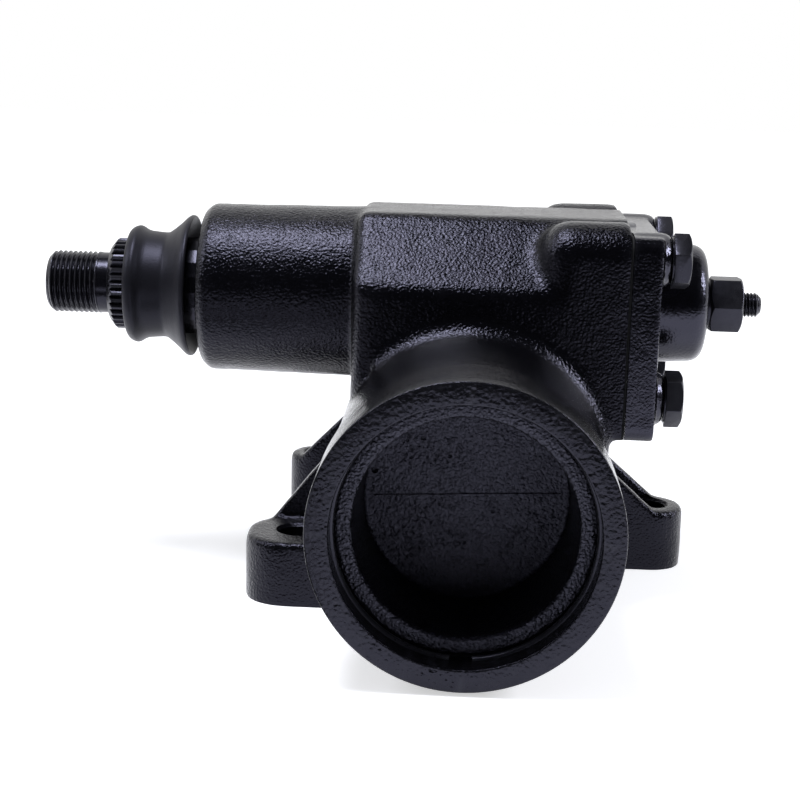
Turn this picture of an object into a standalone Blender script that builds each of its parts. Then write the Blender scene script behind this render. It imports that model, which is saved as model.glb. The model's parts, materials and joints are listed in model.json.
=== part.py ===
"""Recirculating-ball power steering gear: casting, ball-screw mechanism, rotary valve and covers.

Modelled in metres, +Z up. The design frame has its origin at the centre of the large open end
of the casting, +Y along the main bore, +X along the sector shaft towards the side cover.
The frame empty then moves everything so that the world origin lies on the mounting plane,
under the middle of the gear's box.
"""

import math

import bmesh
import bpy
from mathutils import Matrix

# Clearances
SEAT_GAP = 0.0003
RUN_GAP = 0.00035
BACKLASH = 0.0005

# Main bore and barrel, along Y
BARREL_WALL = 0.0081
BARREL_MOUTH_WALL = 0.0073
BARREL_LIP_LENGTH = 0.030
BARREL_EDGE = 0.0008
BORE_R = 0.0381
BORE_END = 0.2065
MOUTH_STEP = 0.0025
MOUTH_DEPTH = 0.0170

# End plug with its seal and retaining ring
PLUG_FACE = 0.0109
PLUG_CUP_MOUTH_R = 0.0345
PLUG_CUP_FLOOR_R = 0.0331
PLUG_CUP_FLOOR = 0.0462
PLUG_FLOOR_WALL = 0.0050
PLUG_RING_WIRE_R = 0.0013
PLUG_RING_GAP_DEG = 24.0
PLUG_SEAL_R = 0.0012

# Sector shaft axis, along X
SECTOR_Y = 0.1244
SECTOR_Z = 0.0538

# Rack and sector teeth
RATIO = 17.5
PITCH_R = 0.0265
GEAR_TEETH = 10
SECTOR_TEETH = 3
PRESSURE_ANGLE = math.radians(25.0)
SECTOR_ADDENDUM = 0.0050
RACK_ADDENDUM = 0.0046
TOOTH_ROOT_GAP = 0.0009
SECTOR_HALF_FACE = 0.0175
SECTOR_SWING_DEG = 43.0

# Rack-piston
PISTON_FRONT = 0.0780
PISTON_LENGTH = 0.1000
PISTON_GAP = 0.0004
PISTON_BORE_R = 0.0146
RACK_FLAT_HALF = 0.0330
PISTON_RING_WIDTH = 0.0040
PISTON_RING_DEPTH = 0.0030
PISTON_RING_SET = 0.0045
PISTON_PLUG_LENGTH = 0.0070
PISTON_PLUG_SQUARE = 0.0127

# Worm and balls
WORM_R = 0.0132
WORM_FRONT = 0.1075
WORM_THREAD_END = 0.1610
WORM_NECK_R = 0.0100
BALL_R = 0.0034
BALL_CIRCLE_R = 0.0143
BALL_TURNS = 1.0
BALL_CENTRE = 0.1330
BALL_FILL_SHARE = 0.88
CHANNEL_GAP = 0.0010

# Thrust flange, valve sleeve and valve bore
THRUST_WEB = 0.0040
THRUST_HOLE_R = 0.0160
BEARING_THICKNESS = 0.0036
THRUST_BEARING_IN_R = 0.0115
THRUST_BEARING_OUT_R = 0.0220
WORM_FLANGE_R = 0.0210
WORM_FLANGE_THICKNESS = 0.0040
VALVE_BORE_R = 0.0255
SLEEVE_LENGTH = 0.0300
SLEEVE_BORE_R = 0.0150
SLEEVE_RING_DEPTH = 0.0018
SLEEVE_RING_WIDTH = 0.0024
VALVE_BODY_WALL = 0.0100

# Adjuster plug and its ring nut
ADJUSTER_R = 0.0330
ADJUSTER_DEPTH = 0.0160
ADJUSTER_STAND_OUT = 0.0075
ADJUSTER_SEAL_R = 0.0011
RING_NUT_WALL = 0.0080
RING_NUT_THICKNESS = 0.0060
RING_NUT_SLOTS = 6

# Input stub shaft and torsion bar
STUB_R = 0.0095
STUB_SPOOL_GAP = 0.0004
STUB_STAND_OUT = 0.0300
STUB_SPLINE_LENGTH = 0.0180
STUB_SPLINES = 24
STUB_SPLINE_DEPTH = 0.0007
STUB_BEARING_WALL = 0.0026
TORSION_BAR_R = 0.0027
TORSION_BAR_IN_WORM = 0.0400

# Hydraulic ports on the valve body
PORT_BOSS_R = 0.0115
PORT_BOSS_TOP = 0.0530
PORT_HOLE_R = 0.0068
PORT_HOLE_DEPTH = 0.0140
PORT_PASSAGE_R = 0.0030
PORT_SPACING = 0.0250
PORT_SEAT_LENGTH = 0.0070

# Sector tower
TOWER_LEFT = -0.0413
TOWER_HALF_DEPTH = 0.0424
TOWER_TOP = 0.0307
TOWER_FLAT_HALF = 0.0194
TOWER_CHAMFER_DROP = 0.0235
TOWER_FOOT = 0.0120
TOWER_ROUND = 0.0040
SECTOR_BOSS_END = -0.0968
SECTOR_BOSS_R = 0.0298
SECTOR_BOSS_DRAFT = 0.0009
SECTOR_BOSS_EDGE = 0.0012
CAVITY_R = 0.0285
CAVITY_TOOTH_R = 0.0330
CAVITY_LEFT = -0.0210

# Side cover, gasket and bolts
COVER_STAND_OUT = 0.0053
GASKET_THICKNESS = 0.0006
COVER_THICKNESS = 0.0098
COVER_BOLT_HALF_Y = 0.0300
COVER_BOLT_HALF_Z = 0.0238
COVER_CENTRE_DROP = 0.0051
COVER_SIDE_EDGE = 0.0110
COVER_TOP_EDGE = 0.0085
COVER_BOTTOM_EDGE = 0.0136
COVER_CORNER_R = 0.0045
FLANGE_THICKNESS = 0.0110
BOLT_LUG_R = 0.0125
BOLT_LUG_LENGTH = 0.0220
COVER_PAD_R = 0.0092
COVER_PAD_HEIGHT = 0.0030
COVER_HUB_R = 0.0205
COVER_HUB_END = 0.0815
COVER_HUB_ROUND = 0.0055
COVER_PILOT_LENGTH = 0.0100
BOLT_R = 0.0048
BOLT_FLATS = 0.0170
BOLT_HEAD = 0.0064
BOLT_ENGAGEMENT = 0.0160
HEX_FACE_SHARE = 0.97
HEX_CHAMFER_DEG = 30.0

# Sector shaft, from its threaded end to its head
THREAD_R = 0.0111
THREAD_END = -0.1532
SPLINE_START = -0.1304
SPLINE_R = 0.0163
SPLINE_LENGTH = 0.0224
SPLINE_COUNT = 36
SPLINE_DEPTH = 0.0010
SPLINE_ROOT_SHARE = 1.5
SPLINE_LEAD_IN = 0.0031
SECTOR_JOURNAL_R = 0.0174
SECTOR_NOSE_R = 0.0143
SECTOR_NOSE_END = 0.0640
SECTOR_HUB_R = 0.0178

# Sector bearings, seals and boot
SEAL_BORE_R = 0.0233
SEAL_BORE_DEPTH = 0.0300
NEEDLE_R = 0.0211
NEEDLE_LENGTH = 0.0320
SEAL_THICKNESS = 0.0080
WASHER_THICKNESS = 0.0016
SNAP_RING_THICKNESS = 0.0016
SNAP_RING_DEPTH = 0.0012
BUSHING_WALL = 0.0018
DUST_SEAL_SET = 0.0010
BOOT_RIM_R = 0.0211
BOOT_RIM_X = -0.1218
BOOT_WAIST_R = 0.0189
BOOT_FLARE_X = -0.1100
BOOT_LIP_R = 0.0254
BOOT_LIP_X = -0.1010
BOOT_WALL = 0.0022

# Lash adjuster
LASH_R = 0.0044
LASH_HEAD_R = 0.0080
LASH_HEAD_THICKNESS = 0.0036
LASH_SLOT_LIP = 0.0030
LASH_END = 0.1017
LASH_NUT_FLATS = 0.0175
LASH_NUT_LENGTH = 0.0110
LASH_NUT_COLLAR = 0.0020
LASH_SOCKET_FLATS = 0.0045
LASH_SOCKET_DEPTH = 0.0045

# Mounting lugs: centre x, centre y and radius of each, and what they share
LUG_FRONT_X = -0.0585
LUG_FRONT_Y = 0.0920
LUG_FRONT_R = 0.0175
LUG_REAR_X = -0.0610
LUG_REAR_Y = 0.2050
LUG_REAR_R = 0.0128
LUG_RIGHT_X = 0.0685
LUG_RIGHT_Y = 0.1450
LUG_RIGHT_R = 0.0130
LUG_PLANE = -0.0490
LUG_TOP = -0.0265
LUG_HOLE_R = 0.0065
LUG_ROUND = 0.0040
LUG_ARM_SPREAD = 0.0100
LUG_ARM_ROOT = 0.0200

# Webs of the lugs: where each starts beyond its lug's centre, and its rise up the barrel
RIB_THICKNESS = 0.0050
RIB_FRONT_START = 0.0118
RIB_FRONT_RISE = 0.0365
RIB_REAR_START = 0.0075
RIB_REAR_RISE = 0.0315
RIB_RIGHT_START = 0.0017
RIB_RIGHT_RISE = 0.0240

# Fineness
ROUND_STEPS = 32
SMALL_STEPS = 20
TINY_STEPS = 12
ROUND_FROM = 0.0260
TINY_TO = 0.0105
ARC_STEPS = 5
HELIX_STEPS = 16

# Sizes that follow from the ones above
TOOTH_PITCH = 2 * math.pi * PITCH_R / GEAR_TEETH
LEAD = 2 * math.pi * PITCH_R / RATIO
MOUTH_R = BORE_R + MOUTH_STEP
BARREL_R = MOUTH_R + BARREL_MOUTH_WALL
BARREL_BODY_R = BORE_R + BARREL_WALL
COVER_FACE = BARREL_BODY_R + COVER_STAND_OUT
VALVE_BODY_R = ADJUSTER_R + VALVE_BODY_WALL
RING_NUT_R = ADJUSTER_R + RING_NUT_WALL
RACK_LINE = SECTOR_Z - PITCH_R
TRAVEL = PITCH_R * math.radians(SECTOR_SWING_DEG)
PISTON_R = BORE_R - PISTON_GAP
PLUG_FLANGE_R = MOUTH_R - 2 * SEAT_GAP
VALVE_START = BORE_END + THRUST_WEB
WORM_FLANGE_Y = VALVE_START + BEARING_THICKNESS + 2 * SEAT_GAP
SLEEVE_START = WORM_FLANGE_Y + WORM_FLANGE_THICKNESS + SEAT_GAP
SLEEVE_END = SLEEVE_START + SLEEVE_LENGTH
UPPER_BEARING_Y = SLEEVE_END + SEAT_GAP
ADJUSTER_Y = UPPER_BEARING_Y + BEARING_THICKNESS + SEAT_GAP
VALVE_END = ADJUSTER_Y + ADJUSTER_DEPTH
ADJUSTER_END = VALVE_END + ADJUSTER_STAND_OUT
STUB_END = ADJUSTER_END + STUB_STAND_OUT
GASKET_X = COVER_FACE + SEAT_GAP
COVER_X = GASKET_X + GASKET_THICKNESS + SEAT_GAP
COVER_OUT_X = COVER_X + COVER_THICKNESS
PAD_X = COVER_OUT_X + COVER_PAD_HEIGHT
COVER_CENTRE_Z = SECTOR_Z - COVER_CENTRE_DROP
BOLT_SITES = [
    (SECTOR_Y + side * COVER_BOLT_HALF_Y, COVER_CENTRE_Z + level * COVER_BOLT_HALF_Z)
    for level in (1, -1)
    for side in (-1, 1)
]
LUGS = {
    "front": (LUG_FRONT_X, LUG_FRONT_Y, LUG_FRONT_R),
    "rear": (LUG_REAR_X, LUG_REAR_Y, LUG_REAR_R),
    "right": (LUG_RIGHT_X, LUG_RIGHT_Y, LUG_RIGHT_R),
}
BOX_MIDDLE_X = (THREAD_END + LASH_END) / 2
BOX_MIDDLE_Y = STUB_END / 2

# Pieces whose Booleans need the manifold solver
TANGENT_PIECES = ("gear_housing", "side_cover", "side_cover_gasket", "sector_shaft", "stub_shaft", "worm")

# Local axes of a piece turned or extruded along each world axis
ALONG = {
    "X": Matrix(((0, 0, 1), (1, 0, 0), (0, 1, 0))),
    "Y": Matrix(((0, 1, 0), (0, 0, 1), (1, 0, 0))),
    "Z": Matrix.Identity(3),
}


def clear_scene():
    """Remove every object so that the script starts from nothing."""
    for obj in list(bpy.data.objects):
        bpy.data.objects.remove(obj, do_unlink=True)


def new_collection(name):
    """Make a collection under the scene's own."""
    made = bpy.data.collections.new(name)
    bpy.context.scene.collection.children.link(made)
    return made


def finish(name, colour, roughness, metallic):
    """Make one plain Principled material."""
    material = bpy.data.materials.new(name)
    material.use_nodes = True
    shader = material.node_tree.nodes["Principled BSDF"]
    shader.inputs["Base Color"].default_value = (*colour, 1.0)
    shader.inputs["Roughness"].default_value = roughness
    shader.inputs["Metallic"].default_value = metallic
    return material


class Shop:
    """Holds the collections, the frame empties and the finishes while the gear is built."""

    def __init__(self):
        self.parts = new_collection("steering_gear")
        self.cutters = new_collection("cutters")
        self.finishes = {
            "black_paint": finish("black_paint", (0.02, 0.02, 0.024), 0.35, 0.1),
            "machined_steel": finish("machined_steel", (0.45, 0.45, 0.46), 0.35, 1.0),
            "black_steel": finish("black_steel", (0.05, 0.05, 0.055), 0.4, 0.8),
            "rubber": finish("rubber", (0.015, 0.015, 0.015), 0.7, 0.0),
            "brass": finish("brass", (0.6, 0.42, 0.15), 0.35, 1.0),
            "gasket": finish("gasket", (0.08, 0.08, 0.08), 0.8, 0.0),
            "ptfe": finish("ptfe", (0.25, 0.15, 0.1), 0.5, 0.0),
        }
        self.frame = self.empty("gear_frame", None, (-BOX_MIDDLE_X, -BOX_MIDDLE_Y, -LUG_PLANE))
        self.worm_axis = self.empty("worm_axis", self.frame, (0, WORM_FRONT, 0))
        self.stub_axis = self.empty("stub_axis", self.worm_axis, (0, SLEEVE_START - WORM_FRONT, 0))
        self.rack_axis = self.empty("rack_axis", self.frame, (0, PISTON_FRONT, 0))
        self.sector_axis = self.empty("sector_axis", self.frame, (0, SECTOR_Y, SECTOR_Z))
        self.lash_axis = self.empty("lash_axis", self.frame, (SECTOR_NOSE_END, SECTOR_Y, SECTOR_Z))

    def empty(self, name, parent, place):
        """Place an empty that carries the pieces of one moving body."""
        made = bpy.data.objects.new(name, None)
        made.empty_display_size = BORE_R / 2
        made.location = place
        made.parent = parent
        self.parts.objects.link(made)
        return made

    def put(self, name, mesh, material, parent, place, axis="Z", cutter=False):
        """Turn a mesh into a placed object; place is in the design frame."""
        made = bpy.data.objects.new(name, mesh)
        (self.cutters if cutter else self.parts).objects.link(made)
        made.parent = parent or self.frame
        carried = made.parent
        offset = [0.0, 0.0, 0.0]
        while carried is not self.frame:
            offset = [a + b for a, b in zip(offset, carried.location)]
            carried = carried.parent
        made.location = [a - b for a, b in zip(place, offset)]
        made.rotation_euler = ALONG[axis].to_euler()
        if cutter:
            made.hide_render = True
            made.display_type = "WIRE"
        else:
            made.data.materials.append(self.finishes[material])
        return made


def on_axis(axis, along, across=(0.0, 0.0)):
    """Point at a distance along a world axis; across holds the other two coordinates in order."""
    if axis == "X":
        return (along, across[0], across[1])
    if axis == "Y":
        return (across[0], along, across[1])
    return (across[0], across[1], along)


def steps_round(radius):
    """Number of facets round a circle of this size."""
    if radius > ROUND_FROM:
        return ROUND_STEPS
    return SMALL_STEPS if radius > TINY_TO else TINY_STEPS


def turned(shop, name, profile, axis, place, material="machined_steel", parent=None,
           ring=False, cutter=False):
    """Turn a profile of (radius, distance) about a world axis through place.

    The profile runs from the far end to the near end down its outer side. With ring the
    profile is a closed loop, which goes on along the inner side back to its start.
    """
    mesh = bpy.data.meshes.new(name)
    points = [(radius, 0.0, along) for radius, along in profile]
    edges = [(i, i + 1) for i in range(len(points) - 1)]
    if ring:
        edges.append((len(points) - 1, 0))
    mesh.from_pydata(points, edges, [])
    made = shop.put(name, mesh, material, parent, place, axis, cutter)
    screw = made.modifiers.new("turn", "SCREW")
    screw.axis = "Z"
    screw.steps = screw.render_steps = steps_round(max(radius for radius, along in profile))
    screw.use_merge_vertices = True
    screw.merge_threshold = 0.00001
    screw.use_smooth_shade = True
    return made


def prism(shop, name, outline, axis, start, end, across=(0.0, 0.0), material="machined_steel",
          parent=None, cutter=False, holes=()):
    """Extrude a flat outline along a world axis from start to end."""
    curve = bpy.data.curves.new(name, "CURVE")
    curve.dimensions = "2D"
    curve.fill_mode = "BOTH"
    curve.extrude = abs(end - start) / 2
    for loop in (outline, *holes):
        spline = curve.splines.new("POLY")
        spline.points.add(len(loop) - 1)
        for point, (u, v) in zip(spline.points, loop):
            point.co = (u, v, 0.0, 1.0)
        spline.use_cyclic_u = True
    drawn = bpy.data.objects.new(name + "_outline", curve)
    shop.cutters.objects.link(drawn)
    mesh = bpy.data.meshes.new_from_object(drawn.evaluated_get(bpy.context.evaluated_depsgraph_get()))
    bpy.data.objects.remove(drawn, do_unlink=True)
    weld(mesh)
    mesh.name = name
    return shop.put(name, mesh, material, parent, on_axis(axis, (start + end) / 2, across), axis, cutter)


def weld(mesh):
    """Join a curve's loose caps to its sides and face everything out."""
    edit = bmesh.new()
    edit.from_mesh(mesh)
    bmesh.ops.remove_doubles(edit, verts=edit.verts, dist=0.000001)
    bmesh.ops.recalc_face_normals(edit, faces=edit.faces)
    edit.to_mesh(mesh)
    edit.free()


def tube(shop, name, points, radius, material="machined_steel", parent=None, cutter=False,
         closed=False, sides=2):
    """Sweep a round section along points given in the design frame."""
    curve = bpy.data.curves.new(name, "CURVE")
    curve.dimensions = "3D"
    curve.bevel_depth = radius
    curve.bevel_resolution = sides
    curve.use_fill_caps = not closed
    spline = curve.splines.new("POLY")
    spline.points.add(len(points) - 1)
    for point, place in zip(spline.points, points):
        point.co = (*place, 1.0)
    spline.use_cyclic_u = closed
    drawn = bpy.data.objects.new(name + "_path", curve)
    shop.cutters.objects.link(drawn)
    mesh = bpy.data.meshes.new_from_object(drawn.evaluated_get(bpy.context.evaluated_depsgraph_get()))
    bpy.data.objects.remove(drawn, do_unlink=True)
    weld(mesh)
    mesh.name = name
    return shop.put(name, mesh, material, parent, (0.0, 0.0, 0.0), "Z", cutter)


def rod(shop, name, axis, start, end, radius, across=(0.0, 0.0), cutter=True,
        material="machined_steel", parent=None):
    """Turned plain rod, as a cutter or as a solid."""
    profile = [(0.0, end - start), (radius, end - start), (radius, 0.0), (0.0, 0.0)]
    return turned(shop, name, profile, axis, on_axis(axis, start, across), material, parent,
                  cutter=cutter)


def washer(shop, name, axis, start, end, inner, outer, across=(0.0, 0.0), material="machined_steel",
           parent=None, edge=0.0):
    """Turned flat ring between two radii, with its outer edges broken by edge."""
    length = end - start
    profile = [(inner, length), (outer - edge, length), (outer, length - edge), (outer, edge),
               (outer - edge, 0.0), (inner, 0.0)]
    if not edge:
        profile = [(inner, length), (outer, length), (outer, 0.0), (inner, 0.0)]
    return turned(shop, name, profile, axis, on_axis(axis, start, across), material, parent, ring=True)


def combine(target, operation, *others):
    """Add one Boolean to the target for each other object.

    Walls that run into each other smoothly leave open edges with the exact solver, so a piece
    named in TANGENT_PIECES takes the manifold one.
    """
    for other in others:
        boolean = target.modifiers.new(operation.lower(), "BOOLEAN")
        boolean.operation = operation
        boolean.object = other
        boolean.solver = "MANIFOLD" if target.name in TANGENT_PIECES else "EXACT"
    return target


def cut(target, *others):
    """Cut each of the others out of the target."""
    return combine(target, "DIFFERENCE", *others)


def join(target, *others):
    """Join each of the others to the target."""
    return combine(target, "UNION", *others)


def bevel(obj, width, segments=2, angle=35.0):
    """Round the edges of an object that are sharper than an angle."""
    made = obj.modifiers.new("round", "BEVEL")
    made.width = width
    made.segments = segments
    made.limit_method = "ANGLE"
    made.angle_limit = math.radians(angle)
    return obj


def arc(centre, radius, first_deg, last_deg, steps=ARC_STEPS):
    """Points of an arc in the plane, both ends included."""
    turns = [math.radians(first_deg + (last_deg - first_deg) * i / max(steps, 1)) for i in range(steps + 1)]
    return [(centre[0] + radius * math.cos(t), centre[1] + radius * math.sin(t)) for t in turns]


def rounded_box(half_u, half_v, radius, centre=(0.0, 0.0), steps=ARC_STEPS):
    """Outline of a rectangle with round corners."""
    outline = []
    for i, (u, v) in enumerate(((1, 1), (-1, 1), (-1, -1), (1, -1))):
        corner = (centre[0] + u * (half_u - radius), centre[1] + v * (half_v - radius))
        outline += arc(corner, radius, 90 * i, 90 * i + 90, steps)
    return outline


def polygon(sides, flats, centre=(0.0, 0.0), turn_deg=0.0):
    """Outline of a regular polygon by its size across flats."""
    radius = flats / 2 / math.cos(math.pi / sides)
    return arc(centre, radius, turn_deg, turn_deg + 360.0 * (sides - 1) / sides, sides - 1)


def star(count, outer, depth):
    """Outline of a splined shaft with straight-sided teeth."""
    outline = []
    for i in range(count):
        middle = 360.0 * i / count
        quarter = 90.0 / count
        outline += arc((0.0, 0.0), outer - depth, middle - 2 * quarter, middle - 2 * quarter, 0)
        outline += arc((0.0, 0.0), outer, middle - 0.5 * quarter, middle + 0.5 * quarter, 1)
    return outline


def helix(first_y, last_y, radius, steps_per_turn=HELIX_STEPS):
    """Right-hand helix about the main axis, in phase with the worm groove."""
    count = max(2, round(abs(last_y - first_y) / LEAD * steps_per_turn))
    points = []
    for i in range(count + 1):
        y = first_y + (last_y - first_y) * i / count
        turn = 2 * math.pi * (y - BALL_CENTRE) / LEAD
        points.append((radius * math.sin(turn), y, radius * math.cos(turn)))
    return points


def around_sector(angle, radius):
    """Point in the sector's plane, angle measured from straight down towards +Y."""
    return (radius * math.sin(angle), -radius * math.cos(angle))


def sector_outline():
    """Outline of the toothed sector: involute flanks below, a plain hub above."""
    base = PITCH_R * math.cos(PRESSURE_ANGLE)
    tip = PITCH_R + SECTOR_ADDENDUM
    root = PITCH_R - RACK_ADDENDUM - TOOTH_ROOT_GAP
    half_at_pitch = (TOOTH_PITCH / 2 - BACKLASH) / 2 / PITCH_R
    lean = math.tan(PRESSURE_ANGLE) - PRESSURE_ANGLE
    flank = [(root, half_at_pitch + lean)]
    for i in range(ARC_STEPS):
        radius = base + (tip - base) * i / (ARC_STEPS - 1)
        roll = math.acos(min(1.0, base / radius))
        flank.append((radius, half_at_pitch + lean - (math.tan(roll) - roll)))
    outline = []
    for i in range(SECTOR_TEETH):
        middle = (i - (SECTOR_TEETH - 1) / 2) * 2 * math.pi / GEAR_TEETH
        outline += [around_sector(middle - half, radius) for radius, half in flank]
        outline += [around_sector(middle + half, radius) for radius, half in reversed(flank)]
    edge = SECTOR_TEETH * math.pi / GEAR_TEETH
    hub_steps = 4 * ARC_STEPS
    for i in range(hub_steps + 1):
        angle = edge + (2 * math.pi - 2 * edge) * i / hub_steps
        outline.append(around_sector(angle, SECTOR_HUB_R))
    return outline


def rack_outline():
    """Outline of what is cut from the piston to leave the rack, around the rack's middle."""
    tip = RACK_LINE + RACK_ADDENDUM
    root = RACK_LINE - SECTOR_ADDENDUM - TOOTH_ROOT_GAP
    slope = math.tan(PRESSURE_ANGLE)
    at_tip = TOOTH_PITCH / 4 + RACK_ADDENDUM * slope
    at_root = TOOTH_PITCH / 4 - (SECTOR_ADDENDUM + TOOTH_ROOT_GAP) * slope
    outline = [(-RACK_FLAT_HALF, BORE_R + BALL_R), (-RACK_FLAT_HALF, tip)]
    for i in range(SECTOR_TEETH):
        middle = (i - (SECTOR_TEETH - 1) / 2) * TOOTH_PITCH
        outline += [(middle - at_tip, tip), (middle - at_root, root)]
        outline += [(middle + at_root, root), (middle + at_tip, tip)]
    outline += [(RACK_FLAT_HALF, tip), (RACK_FLAT_HALF, BORE_R + BALL_R)]
    return outline


def tower_outline():
    """Section of the sector tower across X, around the sector axis, as (y, z)."""
    foot = TOWER_FOOT - SECTOR_Z
    shoulder = TOWER_TOP - TOWER_CHAMFER_DROP
    return [
        (-TOWER_HALF_DEPTH, foot), (TOWER_HALF_DEPTH, foot), (TOWER_HALF_DEPTH, shoulder),
        (TOWER_FLAT_HALF, TOWER_TOP), (-TOWER_FLAT_HALF, TOWER_TOP), (-TOWER_HALF_DEPTH, shoulder),
    ]


def cover_outline():
    """Outline of the side cover around the middle of its bolts, as (y, z)."""
    half_height = COVER_BOLT_HALF_Z + (COVER_TOP_EDGE + COVER_BOTTOM_EDGE) / 2
    middle = (COVER_TOP_EDGE - COVER_BOTTOM_EDGE) / 2
    return rounded_box(COVER_BOLT_HALF_Y + COVER_SIDE_EDGE, half_height, COVER_CORNER_R, (0.0, middle))


def cavity_outline():
    """Outline of the sector's chamber: a round bore with a wider pocket for the teeth."""
    rise = 5.0
    return (arc((0.0, 0.0), CAVITY_TOOTH_R, 180 - rise, 360 + rise, 4 * ARC_STEPS)
            + arc((0.0, 0.0), CAVITY_R, rise, 180 - rise, 4 * ARC_STEPS))


def lug_outline(name):
    """Outline of one mounting lug and its arm to the barrel, as (x, y)."""
    x, y, radius = LUGS[name]
    side = math.copysign(1.0, x)
    first, last = (90, 270) if side < 0 else (-90, 90)
    root = side * LUG_ARM_ROOT
    arm = [(root, y - radius), (root, y + radius + LUG_ARM_SPREAD)]
    return arc((x, y), radius, first, last, 2 * ARC_STEPS - 2) + (arm if side < 0 else arm[::-1])


def lug(shop, name):
    """One mounting lug with its arm to the barrel, and its bolt-hole cutter."""
    x, y, radius = LUGS[name]
    body = bevel(prism(shop, f"lug_{name}", lug_outline(name), "Z", LUG_PLANE, LUG_TOP, cutter=True),
                 LUG_ROUND, 1)
    hole = rod(shop, f"lug_hole_{name}", "Z", LUG_PLANE - LUG_ROUND, LUG_TOP + BARREL_R, LUG_HOLE_R,
               (x, y))
    return body, hole


def rib(shop, name, edge, start, rise):
    """Triangular web up to the barrel, flush with its lug: edge -1 is ahead of the hole, 1 behind."""
    x, y, radius = LUGS[name]
    side = math.copysign(1.0, x)
    outer = x + side * start
    inner = side * (BARREL_BODY_R - RIB_THICKNESS)
    sunk = (LUG_PLANE + LUG_TOP) / 2
    outline = [(sunk, outer), (LUG_TOP, outer), (LUG_TOP + rise, inner), (sunk, inner)]
    middle = y + edge * (radius - RIB_THICKNESS / 2)
    web = prism(shop, f"rib_{name}_{edge}", outline, "Y", middle - RIB_THICKNESS / 2,
                middle + RIB_THICKNESS / 2, cutter=True)
    column = prism(shop, f"rib_column_{name}_{edge}", lug_outline(name), "Z", LUG_PLANE,
                   LUG_TOP + rise + LUG_ROUND, cutter=True)
    return combine(web, "INTERSECT", column)


def barrel_profile():
    """Outer profile of the casting along the main axis, from the valve end to the open end."""
    step = BARREL_R - BARREL_BODY_R
    fall = BARREL_BODY_R - VALVE_BODY_R
    return [
        (0.0, VALVE_END), (VALVE_BODY_R - BARREL_EDGE, VALVE_END), (VALVE_BODY_R, VALVE_END - BARREL_EDGE),
        (VALVE_BODY_R, VALVE_START + fall), (BARREL_BODY_R, VALVE_START - fall),
        (BARREL_BODY_R, BARREL_LIP_LENGTH + step), (BARREL_R, BARREL_LIP_LENGTH - step),
        (BARREL_R, BARREL_EDGE), (BARREL_R - BARREL_EDGE, 0.0), (0.0, 0.0),
    ]


def main_bore_profile():
    """Everything bored out along the main axis, as one turned cutter."""
    groove = MOUTH_R + 2 * PLUG_RING_WIRE_R - BARREL_EDGE
    ring_last = PLUG_FACE - SEAT_GAP
    ring_first = ring_last - 2 * PLUG_RING_WIRE_R - SEAT_GAP
    seal_first = PLUG_FACE + SEAT_GAP
    seal_last = seal_first + 2 * PLUG_SEAL_R + SEAT_GAP
    seal_groove = PLUG_FLANGE_R + 2 * PLUG_SEAL_R + 2 * SEAT_GAP
    over = BARREL_EDGE
    return [
        (0.0, VALVE_END + over), (ADJUSTER_R + SEAT_GAP, VALVE_END + over),
        (ADJUSTER_R + SEAT_GAP, ADJUSTER_Y - SEAT_GAP), (VALVE_BORE_R, ADJUSTER_Y - SEAT_GAP),
        (VALVE_BORE_R, VALVE_START), (THRUST_HOLE_R, VALVE_START), (THRUST_HOLE_R, BORE_END),
        (BORE_R, BORE_END), (BORE_R, MOUTH_DEPTH), (MOUTH_R, MOUTH_DEPTH),
        (MOUTH_R, seal_last), (seal_groove, seal_last), (seal_groove, seal_first), (MOUTH_R, seal_first),
        (MOUTH_R, ring_last), (groove, ring_last), (groove, ring_first), (MOUTH_R, ring_first),
        (MOUTH_R, -over), (0.0, -over),
    ]


def sector_bore_profile():
    """Bearing and seal bores of the sector boss, measured along X from the boss end."""
    over = BARREL_EDGE
    groove_far, groove_near = snap_ring_span()
    return [
        (0.0, CAVITY_LEFT - SECTOR_BOSS_END + over),
        (NEEDLE_R + SEAT_GAP, CAVITY_LEFT - SECTOR_BOSS_END + over),
        (NEEDLE_R + SEAT_GAP, SEAL_BORE_DEPTH), (SEAL_BORE_R, SEAL_BORE_DEPTH),
        (SEAL_BORE_R, groove_far), (SEAL_BORE_R + SNAP_RING_DEPTH, groove_far),
        (SEAL_BORE_R + SNAP_RING_DEPTH, groove_near), (SEAL_BORE_R, groove_near),
        (SEAL_BORE_R, -over), (0.0, -over),
    ]


def snap_ring_span():
    """Far and near wall of the snap ring's groove, measured from the boss end."""
    far = SEAL_BORE_DEPTH - SEAL_THICKNESS - WASHER_THICKNESS - 3 * SEAT_GAP
    return far + SEAT_GAP / 2, far - SNAP_RING_THICKNESS - SEAT_GAP


def port_places():
    """Distance along Y of each hydraulic port."""
    middle = (SLEEVE_START + SLEEVE_END) / 2
    return {"pressure": middle - PORT_SPACING / 2, "return": middle + PORT_SPACING / 2}


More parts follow.
